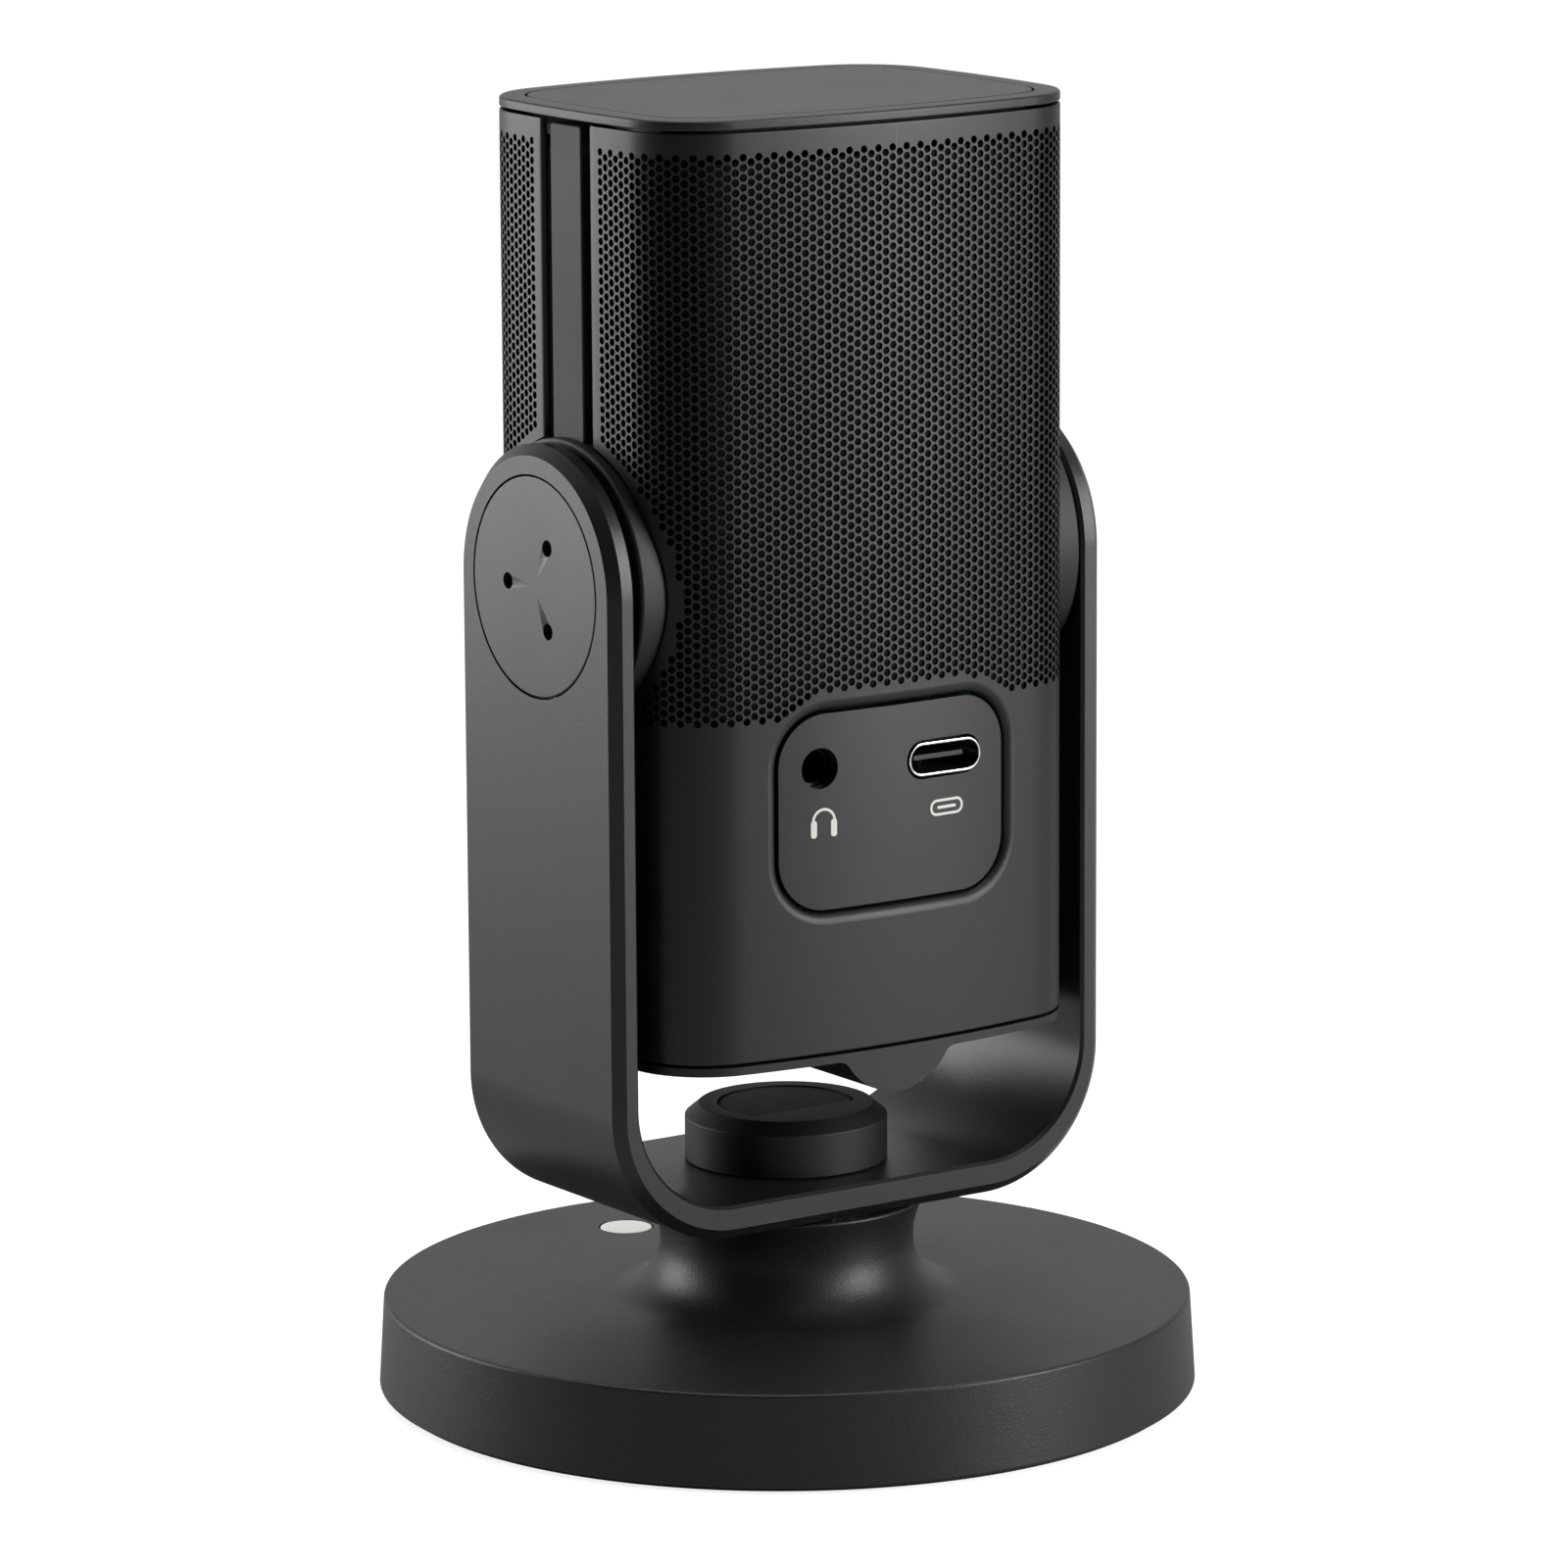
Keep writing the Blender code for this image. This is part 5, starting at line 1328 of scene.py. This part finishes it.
class MakeBottomCap(bpy.types.Operator):
    """Make the bottom cap with the round bump that houses the volume control"""

    bl_idname = "microphone.make_bottom_cap"
    bl_label = "Bottom cap"

    def execute(self, context):
        sizes = settings("head")
        plan = HeadPlan(sizes)
        knob = middle("volume_knob").z
        radius = knob - low("bottom_cap").z
        rim_top = SHELL_BOTTOM - CUT_GAP
        rim_bottom = rim_top - 0.9 * MM
        profile = [(0.0, rim_bottom), (0.0, rim_top)]
        cap = stack("bottom_rim", [plan.loop(depth, height) for depth, height in profile])
        bump = plate("bump", [self.bump_outline(radius, knob, rim_bottom, rim_top, sizes)],
                     -2 * HEAD_HALF_DEPTH, 2 * HEAD_HALF_DEPTH, "Y")
        ends = stack("bump_ends", [plan.loop(0.0, knob + side * 3 * radius) for side in (-1, 1)])
        carve(bump, ends, "INTERSECT")
        carve(cap, bump, "UNION")
        hollow = high("control_body").x + 0.5 * MM
        reach = HEAD_HALF_DEPTH - 1.6 * MM
        carve(cap, turned("hollow", [(hollow, -reach), (hollow, reach)], "Y", (0, 0, knob), 96))
        well = high("volume_knob").x + CUT_GAP
        well_floor = high("volume_knob").y + 1.1 * MM
        profile = [(well, -2 * HEAD_HALF_DEPTH), (well, well_floor)]
        carve(cap, turned("well", profile, "Y", (0, 0, knob), 96))
        dissolve_flat(cap)
        soften_edges(cap, 0.18 * MM, 2, 50)
        finish(cap, "head", "bottom_plastic", "bottom_cap")
        return {"FINISHED"}

    def bump_outline(self, radius, knob, rim_bottom, rim_top, sizes):
        """The round bump seen along Y, with a fillet into the rim each side."""
        fillet = sizes.bump_fillet
        reach = radius + fillet
        drop = knob - rim_bottom + fillet
        aside = math.sqrt(reach**2 - drop**2)
        turn = math.degrees(math.atan2(drop, aside))
        points = [(-aside, rim_top)]
        points += arc((-aside, rim_bottom - fillet), fillet, 90, turn, 8)
        points += arc((0, knob), radius, 180 + turn, 360 - turn, 48)[1:-1]
        points += arc((aside, rim_bottom - fillet), fillet, 180 - turn, 90, 8)
        points += [(aside, rim_top)]
        return points


# ---------------------------------------------------------------- rear panel and sockets

class MakeRearPanel(bpy.types.Operator):
    """Make the rear panel with the openings for its two sockets"""

    bl_idname = "microphone.make_rear_panel"
    bl_label = "Rear panel"

    def execute(self, context):
        sizes = settings("head")
        plan = HeadPlan(sizes)
        centre = middle("rear_panel")
        half_width = high("rear_panel").x
        half_height = high("rear_panel").z - centre.z
        outline = rounded_rectangle(half_width, half_height, sizes.panel_corner, 16)
        panel = rear_plate("panel", outline, centre)
        bottom, top = low("rear_panel").z - 5 * MM, high("rear_panel").z + 5 * MM
        sink = sizes.panel_sink
        back = sink + 1.3 * MM
        ends = ((sink, bottom), (sink, top), (back, top), (back, bottom))
        bow = stack("bow", [plan.loop(depth, height) for depth, height in ends], ring=True)
        carve(panel, bow, "INTERSECT")
        jack = middle("headphone_socket")
        carve(panel, turned("jack_hole", [(2.2 * MM, 0.0), (2.2 * MM, 2 * HEAD_HALF_DEPTH)], "Y",
                            (jack.x, 0, jack.z), 64))
        port = middle("usb_shell")
        half_x = high("usb_shell").x - port.x + CUT_GAP
        half_z = high("usb_shell").z - port.z + CUT_GAP
        slot = rounded_rectangle(half_x, half_z, half_z * 0.98, 16)
        carve(panel, rear_plate("port_hole", slot, port))
        dissolve_flat(panel, 0.2)
        soften_edges(panel, 0.2 * MM, 3, 55)
        finish(panel, "head", "panel_plastic", "rear_panel", sharp=40)
        self.make_symbols(plan, sink)
        return {"FINISHED"}

    def make_symbols(self, plan, sink):
        """Print a pair of headphones under the jack and a plug's outline under the port."""
        jack = middle("headphone_socket")
        port = middle("usb_shell")
        drop = 5.7 * MM
        spot = (jack.x - 0.45 * MM, jack.z - drop)
        band = arc((0, 0), 1.45 * MM, 0, 180, 24) + arc((0, 0), 1.17 * MM, 180, 0, 24)
        self.print_shape("symbol_band", band, spot, plan, sink)
        for side, name in SIDES:
            pad = rounded_rectangle(0.36 * MM, 0.95 * MM, 0.33 * MM, 6)
            place = (spot[0] + side * 1.22 * MM, spot[1] - 0.75 * MM)
            self.print_shape("symbol_pad_" + name, pad, place, plan, sink)
        spot = (port.x - CUT_GAP, port.z - drop + CUT_GAP)
        outer = rounded_rectangle(2.2 * MM, 0.88 * MM, 0.86 * MM, 10)
        inner = rounded_rectangle(1.93 * MM, 0.61 * MM, 0.59 * MM, 10)
        self.print_shape("symbol_port", outer, spot, plan, sink, inner)
        bar = rounded_rectangle(1.25 * MM, 0.16 * MM, 0.15 * MM, 4)
        self.print_shape("symbol_bar", bar, spot, plan, sink)

    def print_shape(self, name, outline, spot, plan, sink, hole=None):
        """A thin film of ink on the panel's bowed face."""
        film = 0.03 * MM
        pairs = [(outline, sink + film), (outline, sink - film)]
        if hole is not None:
            pairs += [(hole, sink - film), (hole, sink + film)]
        loops = [plan.on_rear(points, spot, depth) for points, depth in pairs]
        finish(stack(name, loops, ring=hole is not None), "head", "panel_plastic", ink="symbol_ink")


class MakeSockets(bpy.types.Operator):
    """Make the port's metal shell and tongue, and finish the headphone jack's socket"""

    bl_idname = "microphone.make_sockets"
    bl_label = "Sockets"

    def execute(self, context):
        port = middle("usb_shell")
        half_x = high("usb_shell").x - port.x
        half_z = high("usb_shell").z - port.z
        front, back = high("usb_shell").y, low("usb_shell").y
        wall = 0.28 * MM
        lip = 0.09 * MM
        part = 0.3 * lip
        section = [(0.0, back), (0.0, front - lip), (part, front - part), (lip, front),
                   (wall - lip, front), (wall - part, front - part), (wall, front - lip), (wall, back)]
        loops = []
        for inset, y in section:
            outline = rounded_rectangle(half_x - inset, half_z - inset, (half_z - inset) * 0.98, 14)
            loops.append(np.array([(port.x + x, y, port.z + z) for x, z in outline]))
        finish(stack("port_shell", loops, ring=True), "head", "usb_metal", "usb_shell")
        tongue_low, tongue_high = node_box("usb_tongue")
        centre = (tongue_low + tongue_high) / 2
        half = (tongue_high - tongue_low) / 2
        levels = [(0.0, tongue_low.y), (0.0, tongue_high.y - CUT_GAP), (0.1 * MM, tongue_high.y)]
        loops = []
        for inset, y in levels:
            outline = rounded_rectangle(half.x - inset, half.z - inset, 0.2 * MM, 4)
            loops.append(np.array([(centre.x + x, y, centre.z + z) for x, z in outline]))
        finish(stack("port_tongue", loops), "head", "socket_plastic", "usb_tongue")
        refinish("headphone_socket", "socket_plastic")
        return {"FINISHED"}


# ---------------------------------------------------------------- foam, knob and inner pieces

class MakeFoam(bpy.types.Operator):
    """Make the foam lining behind each half of the grille"""

    bl_idname = "microphone.make_foam"
    bl_label = "Foam lining"

    def execute(self, context):
        plan = HeadPlan(settings("head"))
        rng = np.random.default_rng(7)
        for side, name in ((-1, "front"), (1, "rear")):
            node = "foam_" + name
            bottom, top = high("rear_panel").z + FIT_GAP, high(node).z
            start = SEAM_HALF + 0.4 * MM
            places = np.linspace(start, plan.length - start, 90)
            heights = np.linspace(bottom + FIT_GAP, top - FIT_GAP, 56)
            sheet_depth, thickness = 1.36 * MM, 1.35 * MM
            grid = np.zeros((2, len(places), len(heights), 3))
            for back in (0, 1):
                for row, height in enumerate(heights):
                    swell = rng.uniform(0, 0.05 * MM, len(places))
                    depth = sheet_depth + swell if back == 0 else sheet_depth + thickness - swell
                    flat = plan.at(places, depth)
                    level = np.full(len(flat), height)
                    grid[back, :, row] = np.column_stack([flat[:, 0], side * flat[:, 1], level])
            foam = self.close_grid("lining_" + name, grid)
            radius = HUB_RADIUS + CUT_GAP
            profile = [(radius, -2 * HEAD_HALF_WIDTH), (radius, 2 * HEAD_HALF_WIDTH)]
            carve(foam, turned("hub_hole", profile, "X", (0, 0, PIVOT_HEIGHT), 64), solver="MANIFOLD")
            finish(foam, "head", "foam_dark", node, sharp=60)
        return {"FINISHED"}

    def close_grid(self, name, grid):
        """A closed sheet from a front and a back grid of points."""
        _, columns, rows, _ = grid.shape
        number = np.arange(2 * columns * rows).reshape(2, columns, rows)
        faces = []
        for column in range(columns - 1):
            for row in range(rows - 1):
                front, back = [
                    (sheet[column, row], sheet[column + 1, row], sheet[column + 1, row + 1],
                     sheet[column, row + 1]) for sheet in number]
                faces += [front, back[::-1]]
        edge = [(column, 0) for column in range(columns)]
        edge += [(columns - 1, row) for row in range(1, rows)]
        edge += [(column, rows - 1) for column in range(columns - 2, -1, -1)]
        edge += [(0, row) for row in range(rows - 2, 0, -1)]
        for (c0, r0), (c1, r1) in zip(edge, edge[1:] + edge[:1]):
            faces.append((number[0, c1, r1], number[0, c0, r0], number[1, c0, r0], number[1, c1, r1]))
        faces = [tuple(int(corner) for corner in face) for face in faces]
        mesh = bpy.data.meshes.new(name)
        mesh.from_pydata(grid.reshape(-1, 3).tolist(), [], faces)
        tidy_mesh(mesh)
        return new_object(name, mesh)


class MakeKnob(bpy.types.Operator):
    """Make the volume knob with its shallow dished face"""

    bl_idname = "microphone.make_knob"
    bl_label = "Volume knob"

    dish: length("Dish", "Depth of the knob's dished face", 0.3)

    def execute(self, context):
        centre = middle("volume_knob")
        radius = high("volume_knob").x
        face, back = low("volume_knob").y, high("volume_knob").y
        rim = radius - 0.5 * MM
        parts = [step / 12 for step in range(1, 13)]
        profile = [(rim * part, face + self.dish * (1 - part**2)) for part in parts]
        edge = radius - rim
        profile += [(rim + edge * math.sin(t), face + edge * (1 - math.cos(t))) for t in QUARTER_TURN]
        bore = high("control_shaft").x + FIT_GAP
        profile += [(radius, back), (bore, back), (bore, low("control_shaft").y - FIT_GAP)]
        knob = turned("knob", profile, "Y", (0, 0, centre.z), 128)
        finish(knob, "knob", "knob_plastic", "volume_knob")
        refinish("control_shaft", "axle_steel")
        refinish("control_plunger", "socket_plastic")
        refinish("control_body", "socket_plastic")
        return {"FINISHED"}


class FinishInnerPieces(bpy.types.Operator):
    """Give the pieces inside the head their finishes"""

    bl_idname = "microphone.finish_inner_pieces"
    bl_label = "Inner pieces"

    def execute(self, context):
        inner = {
            "chassis": "chassis_plastic",
            "main_board": "board_green",
            "capsule_bracket": "chassis_plastic",
            "capsule_ring": "mount_rubber",
            "capsule_body": "capsule_brass",
            "diaphragm": "capsule_brass",
        }
        inner.update({f"board_screw_{number}": "screw_steel" for number in range(1, 5)})
        for node, slot in inner.items():
            refinish(node, slot)
        return {"FINISHED"}


# ---------------------------------------------------------------- studio

class MakeStage(bpy.types.Operator):
    """Make the pale floor, the soft lights and the camera"""

    bl_idname = "microphone.make_stage"
    bl_label = "Floor, light and camera"

    def execute(self, context):
        studio = settings("studio")
        self.make_floor()
        self.make_world(studio)
        self.make_lights(studio)
        self.make_camera(studio)
        context.scene.view_settings.view_transform = "Standard"
        return {"FINISHED"}

    def make_floor(self):
        floor = turned("floor", [(0.6, -0.01), (0.6, 0.0)], steps=96)
        floor.location.z = -0.05 * MM
        material, graph = new_surface("floor_white")
        cloud = graph.noise(300 * MM, 2.0)
        shade = graph.blend(cloud, (0.28, 0.28, 0.28, 1.0), (0.32, 0.32, 0.32, 1.0))
        seen = graph.add("ShaderNodeLightPath", output="Is Camera Ray")
        glow = graph.blend(seen, (0.20, 0.20, 0.20, 1.0), (1.0, 1.0, 1.0, 1.0))
        graph.surface({
            "Base Color": shade, "Roughness": 0.8, "Emission Color": glow, "Emission Strength": 0.85})
        floor.data.materials.append(material)

    def make_world(self, studio):
        """A white room that darkens on the camera's side."""
        world = bpy.data.worlds.new("white_room")
        bpy.context.scene.world = world
        graph = Graph(world)
        ahead = (-math.sin(studio.turn), -math.cos(studio.turn), 0.0)
        direction = graph.add("ShaderNodeTexCoord", output="Generated")
        along = graph.dot(direction, ahead)
        light = graph.ramp(along * 0.5 + 0.5, [(0.30, 0.02), (0.50, 0.05), (0.75, 0.22), (0.95, 0.62)])
        seen = graph.add("ShaderNodeLightPath", output="Is Camera Ray")
        shade = graph.blend(seen, light, (1.0, 1.0, 1.0, 1.0))
        background = graph.add("ShaderNodeBackground", None, {"Color": shade, "Strength": 1.05})
        graph.add("ShaderNodeOutputWorld", None, {"Surface": background})

    def make_lights(self, studio):
        ahead = Vector((-math.sin(studio.turn), -math.cos(studio.turn), 0.0))
        aside = Vector((ahead.y, -ahead.x, 0.0))
        up = Vector((0, 0, 1))
        side, top = studio.side_light, studio.top_light
        left = ahead * 0.35 - aside * 0.93 + up * 0.20
        right = aside * 0.58 - ahead * 0.22 + up * 0.25
        above = ahead * 0.15 + up * 1.0
        self.add_light("left_softbox", left, 0.50, 0.8, side * 1.15)
        self.add_light("right_softbox", right, 0.22, 0.5, side * 0.6)
        self.add_light("top_softbox", above, 0.9, 0.9, top)

    def add_light(self, name, place, width, height, power):
        data = bpy.data.lights.new(name, "AREA")
        data.shape = "RECTANGLE"
        data.size = width
        data.size_y = height
        data.energy = power
        light = bpy.data.objects.new(name, data)
        bpy.context.scene.collection.objects.link(light)
        aim = Vector((0, 0, 80 * MM))
        light.location = place
        light.rotation_euler = (aim - place).to_track_quat("-Z", "Y").to_euler()

    def make_camera(self, studio):
        data = bpy.data.cameras.new("camera")
        data.lens = studio.lens
        data.sensor_width = 36.0
        camera = bpy.data.objects.new("camera", data)
        bpy.context.scene.collection.objects.link(camera)
        outward = Vector((math.sin(studio.turn), math.cos(studio.turn), 0.0))
        up = Vector((0, 0, 1))
        ahead = -outward * math.cos(studio.tilt) - up * math.sin(studio.tilt)
        right = ahead.cross(up).normalized()
        upward = right.cross(ahead)
        lean = Matrix.Rotation(-studio.roll, 3, ahead)
        place = outward * studio.reach + up * studio.height
        columns = Matrix((lean @ right, lean @ upward, -ahead)).transposed()
        camera.matrix_world = Matrix.Translation(place) @ columns.to_4x4()
        data.clip_start = 0.05
        bpy.context.scene.camera = camera


# ---------------------------------------------------------------- add-on

STEPS = (
    MakeBase, MakeFoot, MakeMagnet, MakeYoke, MakeBoss, MakePivotCaps, MakeSideRails, MakeSkin,
    MakeTopCap, MakeBottomCap, MakeRearPanel, MakeSockets, MakeFoam, MakeKnob, FinishInnerPieces,
    MakeStage)


class MicrophonePanel(bpy.types.Panel):
    """Lists the microphone's pieces in the 3D view's sidebar"""

    bl_idname = "VIEW3D_PT_microphone"
    bl_label = "Desktop Microphone"
    bl_space_type = "VIEW_3D"
    bl_region_type = "UI"
    bl_category = "Microphone"

    def draw(self, context):
        for name, group in SETTINGS.items():
            box = self.layout.box()
            box.label(text=name.title())
            for item in group.__annotations__:
                box.prop(settings(name), item)
        for step in STEPS:
            self.layout.operator(step.bl_idname)


CLASSES = (*SETTINGS.values(), *STEPS, MicrophonePanel)


def register():
    for item in CLASSES:
        bpy.utils.register_class(item)
    for name, group in SETTINGS.items():
        setattr(bpy.types.Scene, "microphone_" + name, bpy.props.PointerProperty(type=group))


def unregister():
    for name in SETTINGS:
        delattr(bpy.types.Scene, "microphone_" + name)
    for item in reversed(CLASSES):
        bpy.utils.unregister_class(item)


def main():
    register()
    make_finishes()
    for step in STEPS:
        group, name = step.bl_idname.split(".")
        getattr(getattr(bpy.ops, group), name)()


if __name__ == "__main__":
    main()
